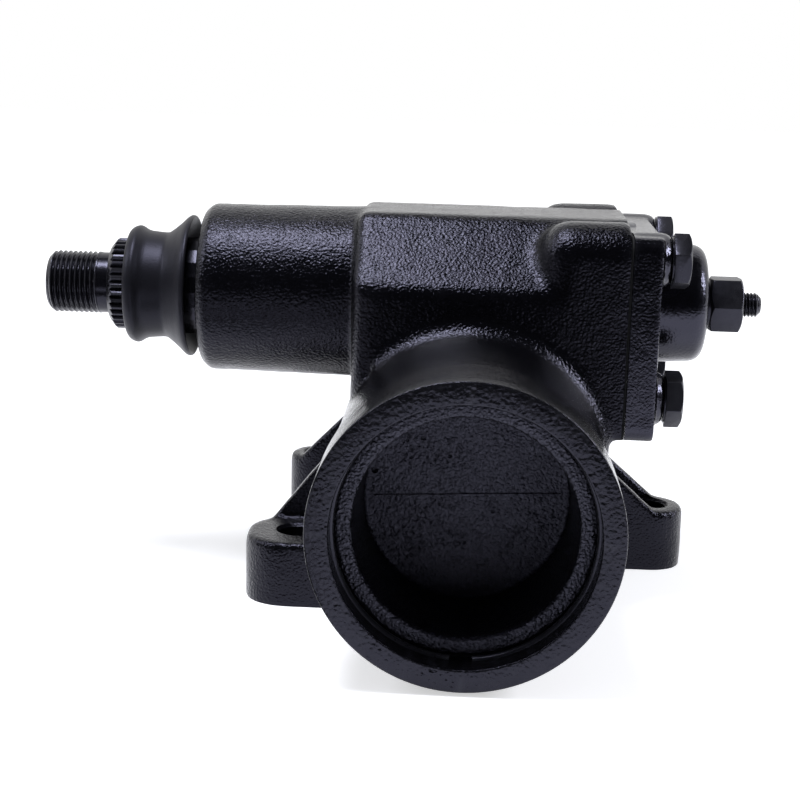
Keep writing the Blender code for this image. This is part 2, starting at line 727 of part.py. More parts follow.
def gear_housing(shop):
    """The casting: barrel, valve body, sector tower and boss, cover flange, ports and lugs."""
    sector_line = (SECTOR_Y, SECTOR_Z)
    housing = turned(shop, "gear_housing", barrel_profile(), "Y", (0.0, 0.0, 0.0), "black_paint")
    tower = bevel(prism(shop, "tower", tower_outline(), "X", TOWER_LEFT, COVER_FACE, sector_line,
                        cutter=True), TOWER_ROUND)
    boss_length = TOWER_LEFT - SECTOR_BOSS_END + FLANGE_THICKNESS
    boss = turned(shop, "sector_boss", [
        (0.0, boss_length), (SECTOR_BOSS_R + SECTOR_BOSS_DRAFT, boss_length),
        (SECTOR_BOSS_R, SECTOR_BOSS_EDGE), (SECTOR_BOSS_R - SECTOR_BOSS_EDGE, 0.0), (0.0, 0.0),
    ], "X", (SECTOR_BOSS_END, SECTOR_Y, SECTOR_Z), cutter=True)
    flange = prism(shop, "cover_flange", cover_outline(), "X", COVER_FACE - FLANGE_THICKNESS,
                   COVER_FACE, (SECTOR_Y, COVER_CENTRE_Z), cutter=True)
    join(housing, tower, boss, flange)
    for i, site in enumerate(BOLT_SITES[:2]):
        join(housing, bolt_lug(shop, f"bolt_lug_{i + 1}", site))
    holes = []
    for name in LUGS:
        body, hole = lug(shop, name)
        join(housing, body)
        holes.append(hole)
    join(housing, *ribs(shop))
    for name, y in port_places().items():
        join(housing, rod(shop, f"{name}_boss", "Z", VALVE_BORE_R + PORT_PASSAGE_R, PORT_BOSS_TOP,
                          PORT_BOSS_R, (0.0, y)))
    cut(housing, turned(shop, "main_bore", main_bore_profile(), "Y", (0.0, 0.0, 0.0), cutter=True))
    cut(housing, prism(shop, "sector_chamber", cavity_outline(), "X", CAVITY_LEFT,
                       COVER_FACE + BARREL_EDGE, sector_line, cutter=True))
    cut(housing, turned(shop, "sector_bore", sector_bore_profile(), "X",
                        (SECTOR_BOSS_END, SECTOR_Y, SECTOR_Z), cutter=True))
    for i, site in enumerate(BOLT_SITES):
        cut(housing, rod(shop, f"bolt_hole_{i + 1}", "X", COVER_FACE - BOLT_ENGAGEMENT - 2 * SEAT_GAP,
                         COVER_FACE + BARREL_EDGE, BOLT_R + SEAT_GAP, site))
    for name, y in port_places().items():
        cut(housing, port_hole(shop, name, y))
    return cut(housing, *holes)


def bolt_lug(shop, name, site):
    """Round-ended swelling of the casting behind one upper cover bolt."""
    cap = BOLT_LUG_R / 2
    profile = [(0.0, BOLT_LUG_LENGTH - BARREL_EDGE), (BOLT_LUG_R, BOLT_LUG_LENGTH - BARREL_EDGE)]
    for radius, along in arc((BOLT_LUG_R - cap, cap), cap, 0, -90, 3):
        profile.append((radius, along))
    profile.append((0.0, 0.0))
    return turned(shop, name, profile, "X", on_axis("X", COVER_FACE - BOLT_LUG_LENGTH, site), cutter=True)


def ribs(shop):
    """Webs that stiffen the lugs."""
    return [
        rib(shop, "front", 1, RIB_FRONT_START, RIB_FRONT_RISE),
        rib(shop, "rear", -1, RIB_REAR_START, RIB_REAR_RISE),
        rib(shop, "right", -1, RIB_RIGHT_START, RIB_RIGHT_RISE),
        rib(shop, "right", 1, RIB_RIGHT_START, RIB_RIGHT_RISE),
    ]


def port_hole(shop, name, y):
    """Cutter of one port: the fitting's hole and the passage to the valve bore."""
    floor = PORT_BOSS_TOP - PORT_HOLE_DEPTH
    start = VALVE_BORE_R - PORT_PASSAGE_R
    profile = [
        (0.0, PORT_BOSS_TOP + BARREL_EDGE - start), (PORT_HOLE_R, PORT_BOSS_TOP + BARREL_EDGE - start),
        (PORT_HOLE_R, floor - start), (PORT_PASSAGE_R, floor - start), (PORT_PASSAGE_R, 0.0), (0.0, 0.0),
    ]
    return turned(shop, f"{name}_port_hole", profile, "Z", (0.0, y, start), cutter=True)


def end_plug(shop):
    """Deep end plug of the main bore, its seal and the wire ring that keeps it in."""
    outer = BORE_R - SEAT_GAP
    flange_r = PLUG_FLANGE_R
    back = PLUG_CUP_FLOOR + PLUG_FLOOR_WALL
    flange_end = MOUTH_DEPTH - SEAT_GAP
    turned(shop, "end_plug", [
        (0.0, back), (outer, back), (outer, flange_end), (flange_r, flange_end),
        (flange_r, PLUG_FACE), (PLUG_CUP_MOUTH_R, PLUG_FACE), (PLUG_CUP_FLOOR_R, PLUG_CUP_FLOOR),
        (0.0, PLUG_CUP_FLOOR),
    ], "Y", (0.0, 0.0, 0.0), "black_paint")
    seal_y = PLUG_FACE + SEAT_GAP + PLUG_SEAL_R + SEAT_GAP / 2
    ring_of(shop, "end_plug_o_ring", "Y", seal_y, flange_r + PLUG_SEAL_R + SEAT_GAP / 2, PLUG_SEAL_R,
            "rubber")
    wire_y = PLUG_FACE - SEAT_GAP - PLUG_RING_WIRE_R - SEAT_GAP / 2
    wire_circle = MOUTH_R + PLUG_RING_WIRE_R - BARREL_EDGE - SEAT_GAP
    half_gap = math.radians(PLUG_RING_GAP_DEG / 2)
    count = ROUND_STEPS
    points = []
    for i in range(count + 1):
        turn = -math.pi / 2 + half_gap + (2 * math.pi - 2 * half_gap) * i / count
        points.append((wire_circle * math.cos(turn), wire_y, wire_circle * math.sin(turn)))
    tube(shop, "end_plug_retaining_ring", points, PLUG_RING_WIRE_R, "black_steel", sides=1)


def ring_of(shop, name, axis, along, circle, section, material, across=(0.0, 0.0), parent=None):
    """Round-section ring about a world axis."""
    sides = 6
    profile = [
        (circle + section * math.cos(-2 * math.pi * i / sides), section * math.sin(-2 * math.pi * i / sides))
        for i in range(sides)
    ]
    return turned(shop, name, profile, axis, on_axis(axis, along, across), material, parent, ring=True)


def side_cover(shop):
    """Side cover with its gasket, bushing and four bolts."""
    centre = (SECTOR_Y, COVER_CENTRE_Z)
    line = (SECTOR_Y, SECTOR_Z)
    gasket_opening = rod(shop, "gasket_opening", "X", COVER_FACE, COVER_X, CAVITY_TOOTH_R, line)
    gasket = prism(shop, "side_cover_gasket", cover_outline(), "X", GASKET_X,
                   GASKET_X + GASKET_THICKNESS, centre, "gasket")
    cut(gasket, gasket_opening)
    cover = bevel(prism(shop, "side_cover", cover_outline(), "X", COVER_X, COVER_OUT_X, centre,
                        "black_paint"), BARREL_EDGE)
    hub_start = COVER_X + BARREL_EDGE
    length = COVER_HUB_END - hub_start
    dome = arc((COVER_HUB_R - COVER_HUB_ROUND, length - COVER_HUB_ROUND), COVER_HUB_ROUND, 90, 0, 4)
    hub = turned(shop, "cover_hub", [(0.0, length), *dome, (COVER_HUB_R + BARREL_EDGE, 0.0), (0.0, 0.0)],
                 "X", (hub_start, SECTOR_Y, SECTOR_Z), cutter=True)
    pilot = rod(shop, "cover_pilot", "X", COVER_X - COVER_PILOT_LENGTH, COVER_X + BARREL_EDGE,
                CAVITY_R - SEAT_GAP, line)
    join(cover, hub, pilot)
    for i, site in enumerate(BOLT_SITES):
        join(cover, rod(shop, f"cover_pad_{i + 1}", "X", COVER_X + BARREL_EDGE, PAD_X, COVER_PAD_R, site))
    bush_r = SECTOR_NOSE_R + RUN_GAP + BUSHING_WALL
    bush_start = COVER_X - COVER_PILOT_LENGTH
    cut(cover, rod(shop, "nose_bore", "X", bush_start - SEAT_GAP, SECTOR_NOSE_END + BARREL_EDGE,
                   bush_r + SEAT_GAP, line))
    cut(cover, rod(shop, "lash_hole", "X", SECTOR_NOSE_END, COVER_HUB_END + BARREL_EDGE,
                   LASH_R + SEAT_GAP, line))
    for i, site in enumerate(BOLT_SITES):
        hole = rod(shop, f"cover_bolt_hole_{i + 1}", "X", GASKET_X - SEAT_GAP, PAD_X + BARREL_EDGE,
                   BOLT_R + SEAT_GAP, site)
        cut(cover, hole)
        cut(gasket, hole)
        cover_bolt(shop, f"cover_bolt_{i + 1}", site)
    washer(shop, "cover_bushing", "X", bush_start, SECTOR_NOSE_END - SEAT_GAP, SECTOR_NOSE_R + RUN_GAP,
           bush_r, line, "brass")


def cover_bolt(shop, name, site):
    """Hex-head bolt along X."""
    start = PAD_X + SEAT_GAP
    bolt = prism(shop, name, polygon(6, BOLT_FLATS, turn_deg=30), "X", start, start + BOLT_HEAD, site,
                 "black_steel")
    chamfer = hex_chamfer(shop, f"{name}_chamfer", start + BOLT_HEAD, BOLT_FLATS, site)
    shank = rod(shop, f"{name}_shank", "X", COVER_FACE - BOLT_ENGAGEMENT, start + BOLT_R, BOLT_R, site)
    combine(bolt, "INTERSECT", chamfer)
    return join(bolt, shank)


def hex_chamfer(shop, name, end, flats, site):
    """Cone-ended rod that rounds the corners of a hex head where it ends along X."""
    corner = flats / math.sqrt(3) + BARREL_EDGE
    depth = flats
    face_r = flats / 2 * HEX_FACE_SHARE
    fall = (corner - face_r) * math.tan(math.radians(HEX_CHAMFER_DEG))
    profile = [(0.0, depth), (face_r, depth), (corner, depth - fall), (corner, 0.0), (0.0, 0.0)]
    return turned(shop, name, profile, "X", on_axis("X", end - depth, site), cutter=True)


def lash_adjuster(shop):
    """Adjuster screw whose head sits in the sector shaft's slot, and its lock nut."""
    line = (SECTOR_Y, SECTOR_Z)
    head = SECTOR_NOSE_END - LASH_SLOT_LIP - SEAT_GAP - LASH_HEAD_THICKNESS
    shank = LASH_END - head
    screw = turned(shop, "lash_adjuster_screw", [
        (0.0, shank), (LASH_R - BARREL_EDGE, shank), (LASH_R, shank - BARREL_EDGE),
        (LASH_R, LASH_HEAD_THICKNESS), (LASH_HEAD_R, LASH_HEAD_THICKNESS), (LASH_HEAD_R, 0.0), (0.0, 0.0),
    ], "X", (head, SECTOR_Y, SECTOR_Z), "black_steel", shop.lash_axis)
    cut(screw, prism(shop, "lash_socket", polygon(6, LASH_SOCKET_FLATS), "X", LASH_END - LASH_SOCKET_DEPTH,
                     LASH_END + BARREL_EDGE, line, cutter=True))
    start = COVER_HUB_END + SEAT_GAP
    end = start + LASH_NUT_COLLAR + LASH_NUT_LENGTH
    nut = prism(shop, "lash_adjuster_lock_nut", polygon(6, LASH_NUT_FLATS, turn_deg=30), "X",
                start + LASH_NUT_COLLAR, end, line, "black_steel")
    combine(nut, "INTERSECT", hex_chamfer(shop, "lock_nut_chamfer", end, LASH_NUT_FLATS, line))
    join(nut, rod(shop, "lock_nut_collar", "X", start, start + LASH_NUT_COLLAR + BARREL_EDGE,
                  LASH_NUT_FLATS / 2, line))
    cut(nut, rod(shop, "lock_nut_hole", "X", start - BARREL_EDGE, end + BARREL_EDGE, LASH_R + SEAT_GAP,
                 line))


def sector_shaft(shop):
    """Sector shaft: thread, serrations, journals and the toothed sector, on its own axis."""
    line = (SECTOR_Y, SECTOR_Z)
    spline_end = SPLINE_START + SPLINE_LENGTH
    edge = 2 * BARREL_EDGE
    root = SPLINE_R - SPLINE_ROOT_SHARE * SPLINE_DEPTH
    at = THREAD_END
    shaft = turned(shop, "sector_shaft", [
        (0.0, SECTOR_NOSE_END - at), (SECTOR_NOSE_R - edge / 2, SECTOR_NOSE_END - at),
        (SECTOR_NOSE_R, SECTOR_NOSE_END - at - edge / 2), (SECTOR_NOSE_R, SECTOR_HALF_FACE - at),
        (SECTOR_JOURNAL_R, SECTOR_HALF_FACE - at), (SECTOR_JOURNAL_R, spline_end + edge - at),
        (root, spline_end - at), (root, SPLINE_START - at), (THREAD_R, SPLINE_START - at),
        (THREAD_R, edge), (THREAD_R - edge, 0.0), (0.0, 0.0),
    ], "X", (at, SECTOR_Y, SECTOR_Z), "machined_steel", shop.sector_axis)
    splines = prism(shop, "serrations", star(SPLINE_COUNT, SPLINE_R, SPLINE_DEPTH), "X",
                    SPLINE_START, spline_end, line, cutter=True)
    trim = turned(shop, "serration_chamfer", [
        (0.0, SPLINE_LENGTH + edge), (SPLINE_R + edge, SPLINE_LENGTH + edge),
        (SPLINE_R + edge, SPLINE_LEAD_IN), (THREAD_R, -edge / 2), (0.0, -edge / 2),
    ], "X", (SPLINE_START, SECTOR_Y, SECTOR_Z), cutter=True)
    combine(splines, "INTERSECT", trim)
    gear = prism(shop, "sector_teeth", sector_outline(), "X", -SECTOR_HALF_FACE, SECTOR_HALF_FACE, line,
                 cutter=True)
    join(shaft, splines, gear)
    slot_floor = SECTOR_NOSE_END - LASH_SLOT_LIP - LASH_HEAD_THICKNESS - 2 * SEAT_GAP
    lip_floor = SECTOR_NOSE_END - LASH_SLOT_LIP
    across = SECTOR_NOSE_R + edge
    narrow = LASH_R + RUN_GAP
    wide = LASH_HEAD_R + RUN_GAP
    slot = [
        (-wide, slot_floor), (wide, slot_floor), (wide, lip_floor), (narrow, lip_floor),
        (narrow, SECTOR_NOSE_END + edge), (-narrow, SECTOR_NOSE_END + edge), (-narrow, lip_floor),
        (-wide, lip_floor),
    ]
    cut(shaft, prism(shop, "lash_slot", [(z + SECTOR_Z, x) for z, x in slot], "Y", SECTOR_Y - across,
                     SECTOR_Y + across, cutter=True))


def sector_supports(shop):
    """Needle bearing, seals, washer and snap ring in the sector boss, and the rubber boot."""
    line = (SECTOR_Y, SECTOR_Z)
    inner = SECTOR_JOURNAL_R + RUN_GAP
    floor = SECTOR_BOSS_END + SEAL_BORE_DEPTH
    seal_r = SEAL_BORE_R - SEAT_GAP
    washer(shop, "sector_needle_bearing", "X", floor + SEAT_GAP, floor + SEAT_GAP + NEEDLE_LENGTH, inner,
           NEEDLE_R, line)
    seal_start = floor - SEAT_GAP - SEAL_THICKNESS
    washer(shop, "sector_pressure_seal", "X", seal_start, floor - SEAT_GAP, inner, seal_r, line, "rubber")
    washer_start = seal_start - SEAT_GAP - WASHER_THICKNESS
    washer(shop, "sector_seal_washer", "X", washer_start, seal_start - SEAT_GAP, inner, seal_r, line)
    far, near = snap_ring_span()
    half_gap = (far - near - SNAP_RING_THICKNESS) / 2
    snap = washer(shop, "sector_snap_ring", "X", SECTOR_BOSS_END + near + half_gap,
                  SECTOR_BOSS_END + far - half_gap, inner + 2 * SNAP_RING_DEPTH,
                  SEAL_BORE_R + SNAP_RING_DEPTH - SEAT_GAP, line, "black_steel")
    notch = rounded_box(2 * SNAP_RING_DEPTH, SEAL_BORE_R / 2, SEAT_GAP, (0.0, -SEAL_BORE_R), 1)
    cut(snap, prism(shop, "snap_ring_notch", notch, "X", SECTOR_BOSS_END, floor, line, cutter=True))
    washer(shop, "sector_dust_seal", "X", SECTOR_BOSS_END + DUST_SEAL_SET, SECTOR_BOSS_END + near - SEAT_GAP,
           inner, seal_r, line, "rubber")
    dust_boot(shop)


def dust_boot(shop):
    """Rubber boot on the serrations: rim, waist and a lip that flares towards the boss."""
    grip = SPLINE_R + SEAT_GAP
    start = BOOT_RIM_X - BOOT_WALL
    lip_in = BOOT_LIP_R - BOOT_WALL
    turned(shop, "dust_boot", [
        (lip_in, BOOT_LIP_X - start), (BOOT_LIP_R, BOOT_LIP_X - start),
        (BOOT_LIP_R, BOOT_LIP_X - BOOT_WALL - start), (BOOT_WAIST_R + BOOT_WALL / 2, BOOT_FLARE_X - start),
        (BOOT_WAIST_R, BOOT_FLARE_X - BOOT_WALL / 2 - start), (BOOT_WAIST_R, 2 * BOOT_WALL),
        (BOOT_RIM_R, 3 * BOOT_WALL / 2), (BOOT_RIM_R, BOOT_WALL / 3), (BOOT_RIM_R - BOOT_WALL / 3, 0.0),
        (grip, 0.0), (grip, BOOT_FLARE_X - start), (grip + BOOT_WALL, BOOT_FLARE_X + BOOT_WALL - start),
    ], "X", (start, SECTOR_Y, SECTOR_Z), "rubber", shop.sector_axis, ring=True)


def rack_piston(shop):
    """Rack-piston with its ring, end plug, ball train and the ball channel it shares with the worm."""
    back = PISTON_FRONT + PISTON_LENGTH
    edge = 2 * BARREL_EDGE
    ring_first = PISTON_FRONT + PISTON_RING_SET
    ring_last = ring_first + PISTON_RING_WIDTH + 2 * SEAT_GAP
    groove_r = PISTON_R - PISTON_RING_DEPTH
    at = PISTON_FRONT
    piston = turned(shop, "rack_piston", [
        (0.0, PISTON_LENGTH), (PISTON_R - edge, PISTON_LENGTH), (PISTON_R, PISTON_LENGTH - edge),
        (PISTON_R, ring_last - at), (groove_r, ring_last - at), (groove_r, ring_first - at),
        (PISTON_R, ring_first - at), (PISTON_R, edge), (PISTON_R - edge, 0.0), (0.0, 0.0),
    ], "Y", (0.0, at, 0.0), "machined_steel", shop.rack_axis)
    teeth = prism(shop, "rack_spaces", [(y + SECTOR_Y, z) for y, z in rack_outline()], "X",
                  -BORE_R, BORE_R, cutter=True)
    bore = rod(shop, "worm_bore", "Y", at - edge, back + edge, PISTON_BORE_R)
    half_train = LEAD * BALL_TURNS / 2
    reach = half_train + BALL_R
    path = helix(BALL_CENTRE - reach, BALL_CENTRE + reach, BALL_CIRCLE_R)
    channel = tube(shop, "nut_groove", path, BALL_R + CHANNEL_GAP, cutter=True, sides=1)
    cut(piston, teeth, bore, channel)
    washer(shop, "rack_piston_ring", "Y", ring_first + SEAT_GAP, ring_last - SEAT_GAP, groove_r + SEAT_GAP,
           BORE_R - SEAT_GAP / 2, material="ptfe", parent=shop.rack_axis)
    plug = rod(shop, "rack_piston_plug", "Y", at + edge / 2, at + edge / 2 + PISTON_PLUG_LENGTH,
               PISTON_BORE_R - SEAT_GAP, cutter=False, material="machined_steel", parent=shop.rack_axis)
    cut(plug, prism(shop, "plug_square", rounded_box(PISTON_PLUG_SQUARE / 2, PISTON_PLUG_SQUARE / 2, edge),
                    "Y", at, at + PISTON_PLUG_LENGTH - edge, cutter=True))
    ball_train(shop, half_train)


def ball_train(shop, half_train):
    """The loaded balls in the helical channel, nearly touching, joined at their contact points."""
    path = math.hypot(2 * math.pi * BALL_CIRCLE_R, LEAD) * BALL_TURNS
    count = math.ceil(path / (2 * BALL_R * BALL_FILL_SHARE))
    places = helix(BALL_CENTRE - half_train, BALL_CENTRE + half_train, BALL_CIRCLE_R, count / BALL_TURNS)
    edit = bmesh.new()
    bmesh.ops.create_icosphere(edit, subdivisions=2, radius=BALL_R)
    mesh = bpy.data.meshes.new("ball")
    edit.to_mesh(mesh)
    edit.free()
    balls = [shop.put(f"ball_{i + 1}", mesh, None, None, place, cutter=True)
             for i, place in enumerate(places[1:])]
    train = shop.put("ball_train", mesh.copy(), "machined_steel", shop.rack_axis, places[0])
    return join(train, *balls)


def worm_train(shop):
    """Worm with its ball groove, the valve sleeve pinned to it, and the torsion bar."""
    flange_end = WORM_FLANGE_Y + WORM_FLANGE_THICKNESS
    at = WORM_FRONT
    edge = BARREL_EDGE
    worm = turned(shop, "worm", [
        (0.0, flange_end - at), (WORM_FLANGE_R - edge, flange_end - at),
        (WORM_FLANGE_R, flange_end - edge - at), (WORM_FLANGE_R, WORM_FLANGE_Y - at),
        (WORM_NECK_R, WORM_FLANGE_Y - at), (WORM_NECK_R, WORM_THREAD_END + WORM_R - WORM_NECK_R - at),
        (WORM_R, WORM_THREAD_END - at), (WORM_R, 2 * edge), (WORM_R - 2 * edge, 0.0), (0.0, 0.0),
    ], "Y", (0.0, at, 0.0), "machined_steel", shop.worm_axis)
    groove = tube(shop, "worm_groove", helix(at - LEAD / 2, WORM_THREAD_END, BALL_CIRCLE_R),
                  BALL_R + CHANNEL_GAP, cutter=True, sides=1)
    bar_start = WORM_FLANGE_Y - TORSION_BAR_IN_WORM
    bore = rod(shop, "worm_bar_bore", "Y", bar_start, flange_end + edge, TORSION_BAR_R + SEAT_GAP)
    cut(worm, groove, bore)
    sleeve_r = VALVE_BORE_R - RUN_GAP
    ring_in = sleeve_r - SLEEVE_RING_DEPTH
    profile = [(SLEEVE_BORE_R, SLEEVE_LENGTH), (sleeve_r, SLEEVE_LENGTH)]
    for i in (2, 1, 0):
        middle = sleeve_ring_y(i) - SLEEVE_START
        half = SLEEVE_RING_WIDTH / 2 + SEAT_GAP
        profile += [(sleeve_r, middle + half), (ring_in, middle + half), (ring_in, middle - half),
                    (sleeve_r, middle - half)]
    profile += [(sleeve_r, 0.0), (SLEEVE_BORE_R, 0.0)]
    sleeve = turned(shop, "valve_sleeve", profile, "Y", (0.0, SLEEVE_START, 0.0), "machined_steel",
                    shop.worm_axis, ring=True)
    for i, y in enumerate(port_places().values()):
        drilling = rod(shop, f"sleeve_drilling_{i + 1}", "Z", SLEEVE_BORE_R - edge, VALVE_BORE_R,
                       PORT_PASSAGE_R / 2, (0.0, y))
        cut(sleeve, drilling)
    for i in range(3):
        y = sleeve_ring_y(i)
        washer(shop, f"sleeve_ring_{i + 1}", "Y", y - SLEEVE_RING_WIDTH / 2, y + SLEEVE_RING_WIDTH / 2,
               ring_in + SEAT_GAP, VALVE_BORE_R - SEAT_GAP / 2, material="ptfe", parent=shop.worm_axis)
    rod(shop, "torsion_bar", "Y", bar_start + SEAT_GAP, STUB_END - STUB_SPLINE_LENGTH / 2, TORSION_BAR_R,
        cutter=False, parent=shop.worm_axis)


def sleeve_ring_y(i):
    """Middle of one sleeve ring along Y: one ring at the middle and one just inside each port."""
    middle = (SLEEVE_START + SLEEVE_END) / 2
    return middle + (i - 1) * (PORT_SPACING / 2 - SLEEVE_RING_WIDTH)


def stub_shaft(shop):
    """Input stub shaft with its spool and splines."""
    spool_start = SLEEVE_START + STUB_R / 4
    spool_end = SLEEVE_END - STUB_R / 8
    spool_r = SLEEVE_BORE_R - STUB_SPOOL_GAP
    spline_start = STUB_END - STUB_SPLINE_LENGTH
    edge = BARREL_EDGE
    at = spool_start
    root = STUB_R - SPLINE_ROOT_SHARE * STUB_SPLINE_DEPTH
    stub = turned(shop, "stub_shaft", [
        (0.0, STUB_END - at), (root - edge, STUB_END - at), (root, STUB_END - edge - at),
        (root, spline_start - at), (STUB_R, spline_start - edge - at), (STUB_R, spool_end - at),
        (spool_r, spool_end - at), (spool_r, 0.0), (0.0, 0.0),
    ], "Y", (0.0, at, 0.0), "machined_steel", shop.stub_axis)
    splines = prism(shop, "stub_splines", star(STUB_SPLINES, STUB_R, STUB_SPLINE_DEPTH), "Y",
                    spline_start - 2 * edge, STUB_END - 2 * edge, cutter=True)
    join(stub, splines)
    cut(stub, rod(shop, "stub_bar_bore", "Y", at - edge, STUB_END - STUB_SPLINE_LENGTH / 2 + SEAT_GAP,
                  TORSION_BAR_R + RUN_GAP))


def valve_end(shop):
    """Thrust bearings, adjuster plug with its seal and ring nut, stub bearing and stub seals."""
    lower_y = VALVE_START + SEAT_GAP
    washer(shop, "lower_thrust_bearing", "Y", lower_y, lower_y + BEARING_THICKNESS,
           THRUST_BEARING_IN_R, THRUST_BEARING_OUT_R)
    washer(shop, "upper_thrust_bearing", "Y", UPPER_BEARING_Y, UPPER_BEARING_Y + BEARING_THICKNESS,
           THRUST_BEARING_IN_R, THRUST_BEARING_OUT_R)
    bore = STUB_R + RUN_GAP + STUB_BEARING_WALL + SEAT_GAP
    length = ADJUSTER_END - ADJUSTER_Y
    edge = BARREL_EDGE
    groove_far = ADJUSTER_DEPTH / 2
    groove_near = groove_far - 2 * ADJUSTER_SEAL_R - SEAT_GAP
    groove_r = ADJUSTER_R - 2 * ADJUSTER_SEAL_R + SEAT_GAP / 2
    plug = turned(shop, "adjuster_plug", [
        (bore, length), (ADJUSTER_R - edge, length), (ADJUSTER_R, length - edge), (ADJUSTER_R, groove_far),
        (groove_r, groove_far), (groove_r, groove_near), (ADJUSTER_R, groove_near), (ADJUSTER_R, 0.0),
        (bore, 0.0),
    ], "Y", (0.0, ADJUSTER_Y, 0.0), "machined_steel", ring=True)
    pin_circle = (bore + ADJUSTER_R) / 2
    for i, side in enumerate((-1, 1)):
        cut(plug, rod(shop, f"spanner_hole_{i + 1}", "Y", ADJUSTER_END - PORT_SEAT_LENGTH,
                      ADJUSTER_END + edge, PORT_PASSAGE_R, (side * pin_circle, 0.0)))
    ring_of(shop, "adjuster_plug_o_ring", "Y", ADJUSTER_Y + (groove_far + groove_near) / 2,
            groove_r + SEAT_GAP / 2 + ADJUSTER_SEAL_R, ADJUSTER_SEAL_R - SEAT_GAP / 2, "rubber")
    nut_start = VALVE_END + SEAT_GAP
    nut = washer(shop, "adjuster_ring_nut", "Y", nut_start, nut_start + RING_NUT_THICKNESS,
                 ADJUSTER_R + SEAT_GAP, RING_NUT_R, edge=edge)
    for i in range(RING_NUT_SLOTS):
        slot = rounded_box(RING_NUT_THICKNESS / 2, RING_NUT_THICKNESS / 2, edge, steps=1)
        turn = 2 * math.pi * (i + 0.5) / RING_NUT_SLOTS
        centre = (RING_NUT_R * math.cos(turn), RING_NUT_R * math.sin(turn))
        cutter = prism(shop, f"ring_nut_slot_{i + 1}", slot, "Y", nut_start - edge,
                       nut_start + RING_NUT_THICKNESS + edge, (centre[1], centre[0]), cutter=True)
        cutter.rotation_euler = (ALONG["Y"] @ Matrix.Rotation(turn, 3, "Z")).to_euler()
        cut(nut, cutter)
    inner = STUB_R + RUN_GAP
    outer = bore - SEAT_GAP
    third = length / 3
    washer(shop, "stub_needle_bearing", "Y", ADJUSTER_Y + edge, ADJUSTER_Y + third + edge, inner, outer)
    washer(shop, "stub_shaft_seal", "Y", ADJUSTER_Y + third + 2 * edge, ADJUSTER_Y + 2 * third, inner, outer,
           material="rubber")
    washer(shop, "stub_dust_seal", "Y", ADJUSTER_Y + 2 * third + edge, ADJUSTER_END - edge, inner, outer,
           material="rubber")


def port_seats(shop):
    """Brass seats at the bottom of the two hydraulic ports."""
    floor = PORT_BOSS_TOP - PORT_HOLE_DEPTH + SEAT_GAP
    cone = PORT_HOLE_R - SEAT_GAP - PORT_PASSAGE_R
    for name, y in port_places().items():
        turned(shop, f"{name}_port_seat", [
            (PORT_PASSAGE_R, PORT_SEAT_LENGTH), (PORT_PASSAGE_R + cone / 4, PORT_SEAT_LENGTH),
            (PORT_HOLE_R - SEAT_GAP, PORT_SEAT_LENGTH - cone), (PORT_HOLE_R - SEAT_GAP, 0.0),
            (PORT_PASSAGE_R, 0.0),
        ], "Z", (0.0, y, floor), "brass", ring=True)


def build():
    """Build every piece of the gear."""
    clear_scene()
    shop = Shop()
    gear_housing(shop)
    end_plug(shop)
    side_cover(shop)
    lash_adjuster(shop)
    sector_shaft(shop)
    sector_supports(shop)
    rack_piston(shop)
    worm_train(shop)
    stub_shaft(shop)
    valve_end(shop)
    port_seats(shop)


if __name__ == "__main__":
    build()
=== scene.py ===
import json
import logging
import math
from dataclasses import dataclass, field
from enum import Enum
from typing import Callable

import bmesh
import bpy
from mathutils import Matrix, Vector


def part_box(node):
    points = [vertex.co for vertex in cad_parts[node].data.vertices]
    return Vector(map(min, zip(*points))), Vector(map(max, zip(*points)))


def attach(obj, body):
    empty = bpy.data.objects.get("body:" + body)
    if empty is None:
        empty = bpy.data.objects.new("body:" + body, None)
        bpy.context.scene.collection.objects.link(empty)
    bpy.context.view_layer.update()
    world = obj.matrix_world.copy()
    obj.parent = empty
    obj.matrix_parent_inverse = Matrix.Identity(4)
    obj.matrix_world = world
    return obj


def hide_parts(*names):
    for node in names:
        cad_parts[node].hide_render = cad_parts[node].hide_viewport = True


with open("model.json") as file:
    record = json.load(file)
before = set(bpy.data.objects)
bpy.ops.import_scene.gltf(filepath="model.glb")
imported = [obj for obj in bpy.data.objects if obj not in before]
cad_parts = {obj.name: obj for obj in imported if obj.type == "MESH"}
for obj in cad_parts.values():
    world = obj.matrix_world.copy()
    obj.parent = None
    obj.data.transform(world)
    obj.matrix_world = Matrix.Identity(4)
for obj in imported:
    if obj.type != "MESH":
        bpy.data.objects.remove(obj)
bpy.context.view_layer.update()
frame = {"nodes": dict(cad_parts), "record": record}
LOG = logging.getLogger("steering_gear")

Pair = tuple[float, float]
Profile = list[Pair]
Point = tuple[float, float, float]
Obj = bpy.types.Object
NodeTree = bpy.types.NodeTree
Socket = bpy.types.NodeSocket
ORIGIN: Point = (0.0, 0.0, 0.0)
WHITE = (1.0, 1.0, 1.0, 1.0)
PALE = (0.86, 0.86, 0.86, 1.0)
CARD_BLACK = (0.015, 0.015, 0.017, 1.0)
FILL_BLUE = (0.9, 0.93, 1.0, 1.0)
LAMP_BLUE = (0.92, 0.93, 1.0)


class Axis(Enum):
    """Which way the long side of a turned or extruded piece lies."""

    X = "X"
    Y = "Y"
    Z = "Z"

    def turn(self) -> Matrix:
        """Turn from a piece's own frame, long side up, to this axis.

        Returns:
            The rotation.
        """
        rows = {
            "X": ((0, 0, 1), (1, 0, 0), (0, 1, 0)),
            "Y": ((0, 1, 0), (0, 0, 1), (1, 0, 0)),
            "Z": ((1, 0, 0), (0, 1, 0), (0, 0, 1)),
        }
        return Matrix(rows[self.value]).to_4x4()


class Body(Enum):
    """The bodies that new pieces ride on, by their names in the frame."""

    HOUSING = "housing"
    OUTPUT = "output_shaft"
    LASH = "lash_screw"


